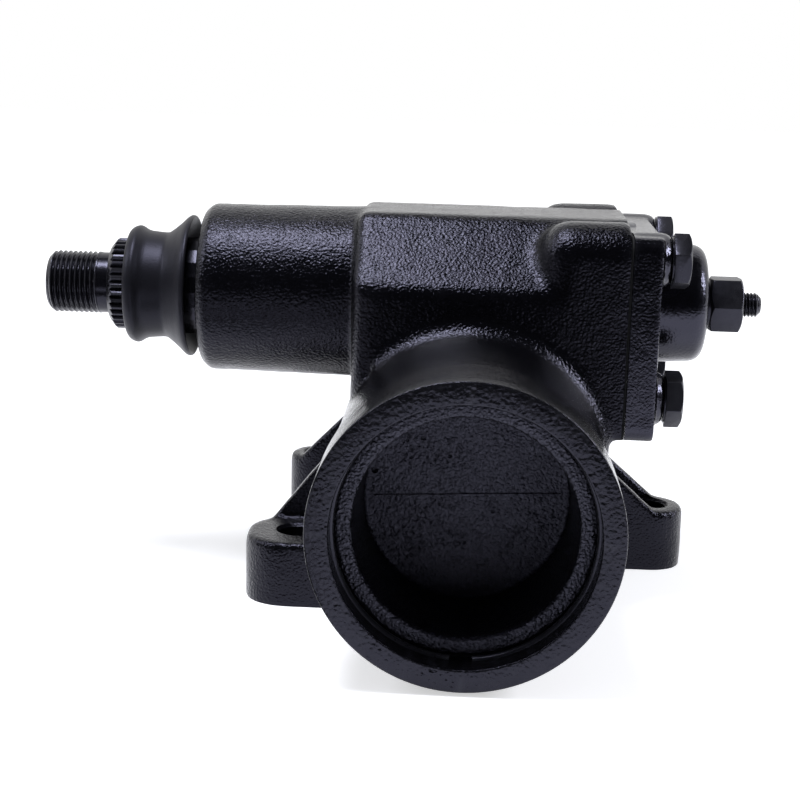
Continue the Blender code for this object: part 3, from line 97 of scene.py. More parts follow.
class Slot(Enum):
    """The record's finish names that new pieces are passed with."""

    PAINT = "black_paint"
    STEEL = "machined_steel"
    BLACK_STEEL = "black_steel"
    RUBBER = "rubber"


# Shader work


class Tree:
    """A node tree with short calls that add nodes and join them."""

    def __init__(self, tree: NodeTree) -> None:
        """Start with an emptied tree.

        Args:
            tree: The material's, world's or group's own tree.
        """
        self.tree = tree
        tree.nodes.clear()

    def add(self, kind: str, **inputs: object) -> bpy.types.Node:
        """Add one node.

        Args:
            kind: The node's type, without the leading "ShaderNode".
            inputs: Values by input name, with spaces written as underscores.

        Returns:
            The new node.
        """
        node = self.tree.nodes.new(kind if kind.startswith("Node") else "ShaderNode" + kind)
        for name, value in inputs.items():
            node.inputs[name.replace("_", " ")].default_value = value
        return node

    def wire(self, source: Socket, target: Socket) -> None:
        """Join an output to an input."""
        self.tree.links.new(source, target)

    def put(self, value: object, target: Socket) -> None:
        """Give an input a value, or join it to another node's output.

        Args:
            value: A number or a socket.
            target: The input.
        """
        if isinstance(value, Socket):
            self.wire(value, target)
        else:
            target.default_value = value

    def math(self, operation: str, first: object, second: object = 0.0) -> Socket:
        """Work out one sum of two numbers or sockets.

        Args:
            operation: The Math node's operation.
            first: A number or a socket.
            second: A number or a socket.

        Returns:
            The result's socket.
        """
        node = self.add("Math")
        node.operation = operation
        self.put(first, node.inputs[0])
        self.put(second, node.inputs[1])
        return node.outputs["Value"]

    def span(self, value: Socket, low: float, high: float, to_low: float, to_high: float) -> Socket:
        """Carry a value from one range to another, clamped.

        Args:
            value: The socket to carry over.
            low: Where the first range starts.
            high: Where the first range ends.
            to_low: What its start becomes.
            to_high: What its end becomes.

        Returns:
            The carried value's socket.
        """
        node = self.add("MapRange", From_Min=low, From_Max=high, To_Min=to_low, To_Max=to_high)
        self.wire(value, node.inputs["Value"])
        return node.outputs["Result"]

    def shown(self, lit: Socket, seen: Socket, out: bpy.types.Node) -> None:
        """Let one shader light the gear and another one be seen by camera, mirrors and glass.

        Args:
            lit: The shader that gives the light.
            seen: The shader that is seen.
            out: The tree's output node.
        """
        path = self.add("LightPath").outputs
        mirrored = self.math("MAXIMUM", path["Is Glossy Ray"], path["Is Transmission Ray"])
        pick = self.add("MixShader")
        mask = self.math("MAXIMUM", path["Is Camera Ray"], mirrored)
        for source, target in zip((mask, lit, seen), pick.inputs):
            self.wire(source, target)
        self.wire(pick.outputs["Shader"], out.inputs["Surface"])

    def texture(self, kind: str, scale: object, **inputs: object) -> bpy.types.Node:
        """Add a texture that lies on the object.

        Args:
            kind: The texture node's type, without "ShaderNode".
            scale: Its scale, a number or a socket.
            inputs: Values by input name, with spaces written as underscores.

        Returns:
            The texture node.
        """
        node = self.add(kind, **inputs)
        self.wire(self.add("TexCoord").outputs["Object"], node.inputs["Vector"])
        self.put(scale, node.inputs["Scale"])
        return node


class SurfaceEffects:
    """Shader groups that more than one finish uses."""

    @staticmethod
    def _start(name: str, inputs: dict[str, float], output: str) -> tuple[Tree, dict, dict]:
        """Open a group with named sockets.

        Args:
            name: The group's name.
            inputs: Default of each input value.
            output: Name of the output value.

        Returns:
            The tree, its input sockets and its output sockets, by name.
        """
        group = bpy.data.node_groups.new(name, "ShaderNodeTree")
        for socket, value in inputs.items():
            made = group.interface.new_socket(name=socket, in_out="INPUT", socket_type="NodeSocketFloat")
            made.default_value = value
        group.interface.new_socket(name=output, in_out="OUTPUT", socket_type="NodeSocketFloat")
        tree = Tree(group)
        start, end = tree.add("NodeGroupInput"), tree.add("NodeGroupOutput")
        return tree, start.outputs, end.inputs

    def cast_grain(self) -> NodeTree:
        """Height of sand-cast iron: soft grains with pits between them.

        Returns:
            The group, with inputs Grain Size and Pits and output Height.
        """
        tree, given, out = self._start("cast_grain", {"Grain Size": 0.0016, "Pits": 0.4}, "Height")
        rate = tree.math("DIVIDE", 1.0, given["Grain Size"])
        grains = tree.texture("TexNoise", rate, Detail=3.0, Roughness=0.62, Distortion=0.3)
        cells = tree.texture("TexVoronoi", tree.math("MULTIPLY", rate, 0.55))
        beads = tree.texture("TexVoronoi", rate, Randomness=0.9)
        cells.feature = beads.feature = "SMOOTH_F1"
        pits = tree.span(cells.outputs["Distance"], 0.05, 0.42, 1.0, 0.0)
        gate = tree.span(tree.texture("TexNoise", 90.0, Detail=1.0).outputs["Fac"], 0.52, 0.68, 0.0, 1.0)
        hollow = tree.math("MULTIPLY", tree.math("MULTIPLY", pits, gate), given["Pits"])
        domes = tree.span(beads.outputs["Distance"], 0.0, 0.75, 0.55, 0.0)
        sand = tree.math("ADD", tree.math("MULTIPLY", grains.outputs["Fac"], 0.75), domes)
        tree.wire(tree.math("SUBTRACT", sand, hollow), out["Height"])
        return tree.tree

    def coat_flow(self) -> NodeTree:
        """Slow change of a sprayed coat's gloss over a casting.

        Returns:
            The group, with input Patch Size and output Flow.
        """
        tree, given, out = self._start("coat_flow", {"Patch Size": 0.03}, "Flow")
        rate = tree.math("DIVIDE", 1.0, given["Patch Size"])
        noise = tree.texture("TexNoise", rate, Detail=4.0, Roughness=0.55)
        tree.wire(tree.span(noise.outputs["Fac"], 0.3, 0.7, 0.0, 1.0), out["Flow"])
        return tree.tree

    def edge_wear(self) -> NodeTree:
        """Mask of the outward edges, broken up by noise.

        Returns:
            The group, with inputs Reach and Break Up and output Edge.
        """
        tree, given, out = self._start("edge_wear", {"Reach": 0.08, "Break Up": 0.5}, "Edge")
        shape = tree.add("NewGeometry").outputs["Pointiness"]
        noise = tree.texture("TexNoise", 260.0, Detail=4.0)
        outward = tree.math("SUBTRACT", shape, 0.5)
        worn = tree.math("MULTIPLY", outward, 6.0)
        broken = tree.math("MULTIPLY", tree.math("SUBTRACT", noise.outputs["Fac"], 0.5), given["Break Up"])
        mask = tree.span(tree.math("ADD", worn, broken), 0.0, 0.6, 0.0, 1.0)
        limit = tree.math("GREATER_THAN", outward, tree.math("MULTIPLY", given["Reach"], 0.1))
        tree.wire(tree.math("MULTIPLY", mask, limit), out["Edge"])
        return tree.tree

    def tool_marks(self) -> NodeTree:
        """Fine rings that a lathe leaves, as a height.

        Returns:
            The group, with input Feed and output Height.
        """
        tree, given, out = self._start("tool_marks", {"Feed": 0.0004}, "Height")
        split = tree.add("SeparateXYZ")
        tree.wire(tree.add("TexCoord").outputs["Object"], split.inputs["Vector"])
        along = tree.math("ADD", split.outputs["X"], split.outputs["Y"])
        turn = tree.math("DIVIDE", tree.math("MULTIPLY", along, 2 * math.pi), given["Feed"])
        rings = tree.math("SINE", turn)
        fine = tree.texture("TexNoise", 900.0, Detail=2.0)
        tree.wire(tree.math("ADD", tree.math("MULTIPLY", rings, 0.3), fine.outputs["Fac"]), out["Height"])
        return tree.tree


@dataclass(frozen=True)
class Finish:
    """One finish of the gear, as a grained surface with a slow change of gloss."""

    name: str
    color: Point
    worn_color: Point
    metallic: float = 0.0
    specular: float = 0.5
    tint: Point = (1.0, 1.0, 1.0)
    gloss: Pair = (0.3, 0.45)
    grain: float = 0.0016
    depth: float = 0.00012
    pits: float = 0.4
    wear: float = 0.5
    turned: bool = False

    def material(self, groups: dict[str, NodeTree]) -> bpy.types.Material:
        """Build the finish.

        Args:
            groups: The shared shader groups by name.

        Returns:
            The finished material.
        """
        made = bpy.data.materials.new(self.name)
        made.use_nodes = True
        tree = Tree(made.node_tree)
        out = tree.add("OutputMaterial")
        skin = tree.add("BsdfPrincipled", Metallic=self.metallic, Specular_IOR_Level=self.specular,
                        Specular_Tint=(*self.tint, 1.0))
        flow = self._group(tree, groups["coat_flow"])
        edge = self._group(tree, groups["edge_wear"])
        grain = self._group(tree, groups["cast_grain"])
        grain.inputs["Grain Size"].default_value = self.grain
        grain.inputs["Pits"].default_value = self.pits
        height = grain.outputs["Height"]
        if self.turned:
            height = self._group(tree, groups["tool_marks"]).outputs["Height"]
        mix = tree.add("Mix")
        mix.data_type = "RGBA"
        mix.inputs["A"].default_value = (*self.color, 1.0)
        mix.inputs["B"].default_value = (*self.worn_color, 1.0)
        tree.wire(tree.math("MULTIPLY", edge.outputs["Edge"], self.wear), mix.inputs["Factor"])
        tree.wire(self._color_result(mix), skin.inputs["Base Color"])
        low, high = self.gloss
        tree.wire(tree.span(flow.outputs["Flow"], 0.0, 1.0, low, high), skin.inputs["Roughness"])
        bump = tree.add("Bump", Strength=1.0, Distance=self.depth)
        tree.wire(height, bump.inputs["Height"])
        tree.wire(bump.outputs["Normal"], skin.inputs["Normal"])
        tree.wire(skin.outputs["BSDF"], out.inputs["Surface"])
        made.diffuse_color = (*self.color, 1.0)
        return made

    @staticmethod
    def _group(tree: Tree, group: NodeTree) -> bpy.types.Node:
        """Add a shared group to a tree.

        Args:
            tree: The material's tree.
            group: The shared group.

        Returns:
            The group's node.
        """
        node = tree.add("Group")
        node.node_tree = group
        return node

    @staticmethod
    def _color_result(mix: bpy.types.Node) -> Socket:
        """Return the colour output of a Mix node."""
        return next(s for s in mix.outputs if s.type == "RGBA")


# Painted highlight colour: a specular tint that turns the highlights of the black finishes bluish, standing in
# for bluish light.
PAINTED_BLUE_HIGHLIGHT_TINT: Point = (0.74, 0.74, 1.0)
DARK_WORN: Point = (0.012, 0.012, 0.015)
GREY_WORN: Point = (0.03, 0.03, 0.034)
CAST_PAINT = Finish("cast_black_paint", (0.0018, 0.0018, 0.0024), DARK_WORN, specular=0.27, tint=PAINTED_BLUE_HIGHLIGHT_TINT,
                    gloss=(0.11, 0.17), grain=0.0009, depth=0.00028, pits=0.2, wear=0.4)
COVER_PAINT = Finish("cover_black_paint", (0.0018, 0.0018, 0.0024), (0.02, 0.02, 0.024), specular=0.55,
                     tint=PAINTED_BLUE_HIGHLIGHT_TINT, gloss=(0.14, 0.22), grain=0.0009, depth=0.00010, pits=0.2)
RIM_PAINT = Finish("machined_rim_paint", (0.0022, 0.0022, 0.0030), GREY_WORN, specular=0.34, tint=PAINTED_BLUE_HIGHLIGHT_TINT,
                   gloss=(0.16, 0.24), grain=0.0012, depth=0.00026, pits=1.0, wear=0.7)
PLUG_PAINT = Finish("cast_plug_paint", (0.0028, 0.0028, 0.0036), DARK_WORN, specular=0.62, tint=PAINTED_BLUE_HIGHLIGHT_TINT,
                    gloss=(0.28, 0.38), grain=0.0009, depth=0.00055, pits=0.6, wear=0.3)
FASTENER_PAINT = Finish("fastener_black_paint", (0.0035, 0.0035, 0.0045), GREY_WORN, specular=0.4, tint=PAINTED_BLUE_HIGHLIGHT_TINT,
                        gloss=(0.22, 0.34), grain=0.002, depth=0.00008, pits=0.1, wear=0.7)
SHAFT_PAINT = Finish("shaft_black_paint", (0.0030, 0.0030, 0.0038), GREY_WORN, specular=0.35, tint=PAINTED_BLUE_HIGHLIGHT_TINT,
                     gloss=(0.18, 0.28), grain=0.0020, depth=0.00006, pits=0.1, wear=0.8)
RUBBER = Finish("boot_rubber", (0.007, 0.007, 0.0085), (0.016, 0.016, 0.018), specular=0.25, tint=PAINTED_BLUE_HIGHLIGHT_TINT,
                gloss=(0.34, 0.46), grain=0.0006, depth=0.00004, pits=0.1, wear=0.3)
STEEL = Finish("turned_steel", (0.42, 0.42, 0.43), (0.6, 0.6, 0.61), metallic=1.0, gloss=(0.24, 0.4),
               depth=0.00002, turned=True)
BRASS = Finish("turned_brass", (0.6, 0.40, 0.14), (0.75, 0.55, 0.25), metallic=1.0, gloss=(0.22, 0.36),
               depth=0.00002, turned=True)
FIBRE = Finish("gasket_fibre", (0.006, 0.006, 0.007), (0.02, 0.02, 0.022), specular=0.2, gloss=(0.7, 0.85),
               grain=0.0008, depth=0.00005, pits=0.2, wear=0.3)
SEAL_RING = Finish("filled_ring", (0.16, 0.09, 0.05), (0.25, 0.16, 0.09), specular=0.4, gloss=(0.4, 0.55),
                   grain=0.0008, depth=0.00002, pits=0.1, wear=0.3)


# Mesh work


class Bench:
    """Makes meshes in the gear's own frame and sets them down in the frame's."""

    def __init__(self) -> None:
        """Find the worm axis and the open end of the barrel in the frame."""
        low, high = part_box("end_plug")
        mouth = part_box("gear_housing")[0].y
        self.origin = Vector(((low.x + high.x) / 2, mouth, (low.z + high.z) / 2))
        self.materials: dict[str, bpy.types.Material] = {}
        effects = SurfaceEffects()
        made = (effects.cast_grain(), effects.coat_flow(), effects.edge_wear(), effects.tool_marks())
        self.groups = {group.name: group for group in made}

    def finish(self, finish: Finish) -> bpy.types.Material:
        """Return the material of a finish, built on first use."""
        if finish.name not in self.materials:
            self.materials[finish.name] = finish.material(self.groups)
        return self.materials[finish.name]

    def put(self, name: str, points: list, faces: list, axis: Axis = Axis.Z,
            at: Point = ORIGIN) -> Obj:
        """Turn points and faces into an object.

        Args:
            name: The object's name.
            points: Corners in the piece's own frame, long side up.
            faces: Corner numbers of each face.
            axis: Where the long side points.
            at: Place of the piece's own origin, in the gear's frame.

        Returns:
            The object, its faces turned outwards.
        """
        mesh = bpy.data.meshes.new(name)
        mesh.from_pydata(points, [], faces)
        mesh.transform(Matrix.Translation(self.origin + Vector(at)) @ axis.turn())
        edit = bmesh.new()
        edit.from_mesh(mesh)
        bmesh.ops.remove_doubles(edit, verts=edit.verts, dist=1e-7)
        bmesh.ops.recalc_face_normals(edit, faces=edit.faces)
        edit.to_mesh(mesh)
        edit.free()
        return placed(name, mesh)

    def turned(self, name: str, profile: Profile, axis: Axis, at: Point = ORIGIN,
               steps: int = 96) -> Obj:
        """Turn a profile about an axis.

        Args:
            name: The object's name.
            profile: Points as (radius, along); one that starts and ends at radius 0 makes a solid,
                any other one makes a ring.
            axis: The axis it turns about.
            at: A point of that axis, from which "along" counts.
            steps: Facets round the axis.

        Returns:
            The turned object.
        """
        solid = profile[0][0] == profile[-1][0] == 0.0
        rows = profile[1:-1] if solid else profile
        rings = [ring(along, steps, lambda _: radius) for radius, along in rows]
        return self.skinned(name, rings, solid, axis, at)

    def skinned(self, name: str, rings: list[list[Point]], solid: bool, axis: Axis, at: Point) -> Obj:
        """Lay faces over a row of rings.

        Args:
            name: The object's name.
            rings: Rings of as many points each.
            solid: Whether both ends are closed; if not, the last ring joins the first one.
            axis: The axis that the rings lie round.
            at: A point of that axis, from which distances count.

        Returns:
            The skinned object.
        """
        steps = len(rings[0])
        around = [(i, (i + 1) % steps) for i in range(steps)]
        faces = []
        for row in range(len(rings) - 1 if solid else len(rings)):
            here, after = row * steps, (row + 1) % len(rings) * steps
            faces += [(here + i, here + j, after + j, after + i) for i, j in around]
        if solid:
            last = (len(rings) - 1) * steps
            faces += [tuple(range(steps)), tuple(range(last, last + steps))]
        return self.put(name, [point for points in rings for point in points], faces, axis, at)

    def rod(self, name: str, radius: float, length: float, axis: Axis, at: Point, steps: int = 96) -> Obj:
        """Turn a plain rod that starts at a point of its axis."""
        return self.turned(name, stepped(length, (radius, 0.0)), axis, at, steps)

    def prism(self, name: str, outline: Profile, axis: Axis, start: float, end: float,
              at: Pair = (0.0, 0.0)) -> Obj:
        """Push an outline along an axis.

        Args:
            name: The object's name.
            outline: Corners across the axis, in its own frame.
            axis: The way it is pushed.
            start: Where it starts along the axis.
            end: Where it ends along the axis.
            at: Place of the outline's origin across the axis.

        Returns:
            The pushed object.
        """
        count = len(outline)
        points = [(u + at[0], v + at[1], w) for w in (start, end) for u, v in outline]
        faces = [tuple(range(count)), tuple(range(count, 2 * count))]
        faces += [(i, (i + 1) % count, count + (i + 1) % count, count + i) for i in range(count)]
        return self.put(name, points, faces, axis)

    def relief(self, name: str, stations: list[float], radius: Callable[[float, float], float], axis: Axis,
               at: Point, steps: int) -> Obj:
        """Make a closed round body whose radius changes with place and turn, such as a thread.

        Args:
            name: The object's name.
            stations: Distances along the axis.
            radius: Radius at a distance and a turn in radians.
            axis: The body's axis.
            at: A point of that axis, from which distances count.
            steps: Facets round the axis.

        Returns:
            The made object.
        """
        rings = [ring(along, steps, lambda turn: radius(along, turn)) for along in stations]
        return self.skinned(name, rings, True, axis, at)

    def rounded(self, obj: Obj, width: float,
                share: Callable[[Vector, Vector], float]) -> Obj:
        """Round some edges of an object.

        Args:
            obj: The object to change.
            width: The widest rounding.
            share: Gives an edge's share of that width, from its two ends in the gear's frame.

        Returns:
            The changed object.
        """
        mesh = obj.data
        weights = mesh.attributes.new("bevel_weight_edge", "FLOAT", "EDGE")
        for edge in mesh.edges:
            first, second = (mesh.vertices[i].co - self.origin for i in edge.vertices)
            weights.data[edge.index].value = share(first, second)
        return self.bevelled(obj, width, 5, "WEIGHT")

    def bevelled(self, obj: Obj, width: float, segments: int, limit: str, angle: float = 30.0) -> Obj:
        """Round edges with a bevel.

        Args:
            obj: The object to change.
            width: The bevel's width.
            segments: Its facets.
            limit: How its edges are picked, WEIGHT or ANGLE.
            angle: The smallest angle that ANGLE picks, in degrees.

        Returns:
            The changed object.
        """
        soft = obj.modifiers.new("soft", "BEVEL")
        soft.width = width
        soft.segments = segments
        soft.limit_method = limit
        soft.angle_limit = math.radians(angle)
        return self.settle(obj)

    def joined(self, name: str, pieces: list[Obj]) -> Obj:
        """Put several objects into one mesh without cutting them.

        Args:
            name: The new object's name.
            pieces: The objects, which are used up.

        Returns:
            The new object.
        """
        edit = bmesh.new()
        for piece in pieces:
            edit.from_mesh(piece.data)
        mesh = bpy.data.meshes.new(name)
        edit.to_mesh(mesh)
        edit.free()
        for piece in pieces:
            bpy.data.objects.remove(piece)
        return placed(name, mesh)

    def settle(self, obj: Obj) -> Obj:
        """Turn an object's modifiers into its mesh.

        Args:
            obj: The object to change.

        Returns:
            The same object.
        """
        view = bpy.context.evaluated_depsgraph_get()
        mesh = bpy.data.meshes.new_from_object(obj.evaluated_get(view))
        obj.modifiers.clear()
        obj.data = mesh
        return obj

    def combine(self, obj: Obj, operation: str, others: list[Obj]) -> Obj:
        """Cut, join or keep the overlap with other objects, which are used up.

        Args:
            obj: The object to change.
            operation: DIFFERENCE, UNION or INTERSECT.
            others: The tools.

        Returns:
            The changed object.
        """
        for other in others:
            step = obj.modifiers.new("step", "BOOLEAN")
            step.operation = operation
            step.object = other
            step.solver = "MANIFOLD"
        self.settle(obj)
        for other in others:
            bpy.data.objects.remove(other)
        return obj

    def cast(self, obj: Obj, voxel: float, rounds: int, waviness: float,
             fillets: tuple[tuple[Point, Point, int], ...] = ()) -> Obj:
        """Give overlapping solids one skin with the soft fillets of a sand casting.

        Args:
            obj: Closed solids in one mesh.
            voxel: Size of the new skin's faces.
            rounds: Smoothing rounds; more make wider fillets.
            waviness: How far the skin wanders from true.
            fillets: Places with wider fillets, as low corner, high corner and further rounds.

        Returns:
            The same object with its new skin.
        """
        skin = obj.modifiers.new("skin", "REMESH")
        skin.mode = "VOXEL"
        skin.voxel_size = voxel
        self.settle(obj)
        for i, (low, high, more) in enumerate(fillets):
            zone = obj.vertex_groups.new(name=f"fillet_{i}")
            near, far = self.origin + Vector(low), self.origin + Vector(high)
            inside = [v.index for v in obj.data.vertices if all(near[k] < v.co[k] < far[k] for k in range(3))]
            zone.add(inside, 1.0, "REPLACE")
            wider = obj.modifiers.new(f"fillet_{i}", "SMOOTH")
            wider.factor = 0.5
            wider.iterations = more
            wider.vertex_group = zone.name
        soft = obj.modifiers.new("soft", "SMOOTH")
        soft.factor = 0.5
        soft.iterations = rounds
        clouds = bpy.data.textures.new("sand_mould", "CLOUDS")
        clouds.noise_scale = 0.011
        wave = obj.modifiers.new("wave", "DISPLACE")
        wave.texture = clouds
        wave.texture_coords = "GLOBAL"
        wave.strength = waviness
        wave.mid_level = 0.5
        return self.settle(obj)

    def dress(self, obj: Obj, finish: Finish, body: Body, slot: Slot, angle: float,
              stands_for: tuple[str, ...]) -> Obj:
        """Finish an object and hand it to the body it moves with.

        Args:
            obj: The made piece.
            finish: Its finish.
            body: The body it rides on.
            slot: The record's finish it belongs to; not used.
            angle: Edges sharper than this many degrees stay sharp.
            stands_for: The solids that it stands for.

        Returns:
            The same object.
        """
        mesh = obj.data
        mesh.materials.clear()
        mesh.materials.append(self.finish(finish))
        for polygon in mesh.polygons:
            polygon.material_index = 0
        sharpen(mesh, angle)
        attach(obj, body.value)
        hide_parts(*stands_for)
        LOG.info("%s: %d faces in %s", obj.name, len(mesh.polygons), finish.name)
        return obj


def placed(name: str, data: bpy.types.ID) -> Obj:
    """Put a mesh, curve, lamp or camera into the scene.

    Args:
        name: The new object's name.
        data: What it holds.

    Returns:
        The new object.
    """
    obj = bpy.data.objects.new(name, data)
    bpy.context.scene.collection.objects.link(obj)
    return obj


def sharpen(mesh: bpy.types.Mesh, angle: float) -> None:
    """Shade a mesh smooth and keep its sharp edges.

    Args:
        mesh: The mesh to change.
        angle: Edges sharper than this many degrees stay sharp.
    """
    edit = bmesh.new()
    edit.from_mesh(mesh)
    limit = math.radians(angle)
    for face in edit.faces:
        face.smooth = True
    for edge in edit.edges:
        edge.smooth = not edge.is_manifold or edge.calc_face_angle(0.0) < limit
    edit.to_mesh(mesh)
    edit.free()


def ring(along: float, steps: int, radius: Callable[[float], float]) -> list[Point]:
    """Make one ring of points across an axis.

    Args:
        along: Its distance along the axis.
        steps: Number of points.
        radius: Radius at a turn in radians.

    Returns:
        The points.
    """
    turns = [2 * math.pi * i / steps for i in range(steps)]
    return [(radius(turn) * math.cos(turn), radius(turn) * math.sin(turn), along) for turn in turns]


def arc(centre: Pair, radius: float, first: float, last: float, steps: int = 8) -> Profile:
    """Make an arc's points.

    Args:
        centre: Its middle.
        radius: Its radius.
        first: Where it starts, in degrees.
        last: Where it ends, in degrees.
        steps: Number of chords.

    Returns:
        The points, both ends included.
    """
    turns = [math.radians(first + (last - first) * i / steps) for i in range(steps + 1)]
    return [(centre[0] + radius * math.cos(t), centre[1] + radius * math.sin(t)) for t in turns]


def stepped(top: float, *steps: Pair) -> Profile:
    """Make a stepped rod's profile, from its far end to its near one.

    Args:
        top: Where the rod ends.
        steps: Radius of each step and where the next one starts.

    Returns:
        The profile, from axis to axis.
    """
    points = [(0.0, top)]
    for radius, end in steps:
        points += [(radius, points[-1][1]), (radius, end)]
    return [*points, (0.0, points[-1][1])]


def eased(profile: Profile, size: float, steps: int = 3) -> Profile:
    """Round the corners of a profile, except the ones on the axis.

    Args:
        profile: The sharp points.
        size: How far each rounding reaches along its edges at most.
        steps: Chords of each rounding.

    Returns:
        The rounded points.
    """
    count = len(profile)
    closed = profile[0][0] != 0.0
    out: Profile = []
    for i, here in enumerate(profile):
        if not closed and i in (0, count - 1):
            out.append(here)
            continue
        before, after = Vector(profile[i - 1]), Vector(profile[(i + 1) % count])
        point = Vector(here)
        back, ahead = before - point, after - point
        reach_back = min(size, back.length * 0.45)
        reach_ahead = min(size, ahead.length * 0.45)
        start = point + back.normalized() * reach_back
        end = point + ahead.normalized() * reach_ahead
        for k in range(steps + 1):
            t = k / steps
            spot = start * (1 - t) ** 2 + point * 2 * t * (1 - t) + end * t ** 2
            out.append((spot.x, spot.y))
    return out


def trough(cycles: float, slope: float, rest: float) -> float:
    """Work out how deep a cut profile is, 0 on a crest and 1 in a root.

    Args:
        cycles: How many teeth or pitches have gone by.
        slope: How steep the flanks are.
        rest: How wide the crest is.

    Returns:
        The share of the full depth.
    """
    return min(1.0, max(0.0, abs(cycles % 1.0 - 0.5) * slope - rest))


def thread(pitches: float, turn: float) -> float:
    """Work out a screw thread's share of its depth at a distance in pitches and a turn."""
    return trough(pitches - turn / (2 * math.pi), 2.6, 0.15)


def rectangle(left: float, low: float, right: float, high: float) -> Profile:
    """Make a rectangle's outline by its four sides."""
    return [(left, low), (right, low), (right, high), (left, high)]


def round_box(half_u: float, half_v: float, radius: float, centre: Pair = (0.0, 0.0)) -> Profile:
    """Make the outline of a rectangle with round corners.

    Args:
        half_u: Half its width.
        half_v: Half its height.
        radius: Its corners' radius.
        centre: Its middle.

    Returns:
        The outline.
    """
    outline: Profile = []
    for i, (u, v) in enumerate(((1, 1), (-1, 1), (-1, -1), (1, -1))):
        corner = (centre[0] + u * (half_u - radius), centre[1] + v * (half_v - radius))
        outline += arc(corner, radius, 90 * i, 90 * i + 90)
    return outline


def hexagon(flats: float, turn: float = 30.0) -> Profile:
    """Make a hexagon's outline by its size across flats."""
    return arc((0.0, 0.0), flats / math.sqrt(3), turn, turn + 300.0, 5)


# The gear


@dataclass(frozen=True)
class GearLines:
    """Places that the castings and the shaft share, from the worm axis and the barrel's open end."""

    sector_y: float = 0.1244
    sector_z: float = 0.0538
    cover_face: float = 0.0515
    cover_centre_z: float = 0.0487
    bolt_half_y: float = 0.0300
    bolt_half_z: float = 0.0238
    cover_beside: float = 0.0110
    cover_above: float = 0.0085
    cover_below: float = 0.0136
    cover_corner: float = 0.0045
    boss_end: float = -0.0968
    bolt_hole_r: float = 0.0051

    def cover_outline(self) -> Profile:
        """Return the side cover's outline about the middle of its bolts."""
        above, below = self.bolt_half_z + self.cover_above, self.bolt_half_z + self.cover_below
        return round_box(self.bolt_half_y + self.cover_beside, (above + below) / 2, self.cover_corner,
                         (0.0, (above - below) / 2))

    def sector(self, x: float) -> Point:
        """Return a point of the sector axis."""
        return (x, self.sector_y, self.sector_z)

    def line(self) -> Pair:
        """Return the sector axis's place across itself."""
        return (self.sector_y, self.sector_z)

    def bolts(self) -> list[Pair]:
        """Return the cover bolts' places across the sector axis, upper ones first."""
        return [(self.sector_y + y * self.bolt_half_y, self.cover_centre_z + z * self.bolt_half_z)
                for z in (1, -1) for y in (-1, 1)]


@dataclass(frozen=True)
class WebPlan:
    """One web of a lug: its side of the hole, where it starts beyond the hole and its rise."""

    edge: int
    start: float
    rise: float


@dataclass(frozen=True)
class LugPlan:
    """One mounting lug: the place of its hole, its half width, its rounding and its webs."""

    x: float
    y: float
    half: float
    corner: float
    spread: float
    webs: tuple[WebPlan, ...]


@dataclass
class Piece:
    """A piece of the gear, with the bench it is made on and the places it shares with others."""

    bench: Bench
    lines: GearLines

    def on_sector(self, name: str, profile: Profile, x: float, steps: int = 96) -> Obj:
        """Turn a profile about the sector axis, counted from a place along it."""
        return self.bench.turned(name, profile, Axis.X, self.lines.sector(x), steps)

    def bolt_holes(self, start: float, length: float) -> list[Obj]:
        """Make the cutters of the four bolt holes."""
        return [self.bench.rod(f"bolt_hole_{i}", self.lines.bolt_hole_r, length, Axis.X, (start, y, z), 32)
                for i, (y, z) in enumerate(self.lines.bolts())]

    def sector_rod(self, name: str, radius: float, length: float, x: float, steps: int = 96) -> Obj:
        """Turn a plain rod about the sector axis."""
        return self.bench.rod(name, radius, length, Axis.X, self.lines.sector(x), steps)


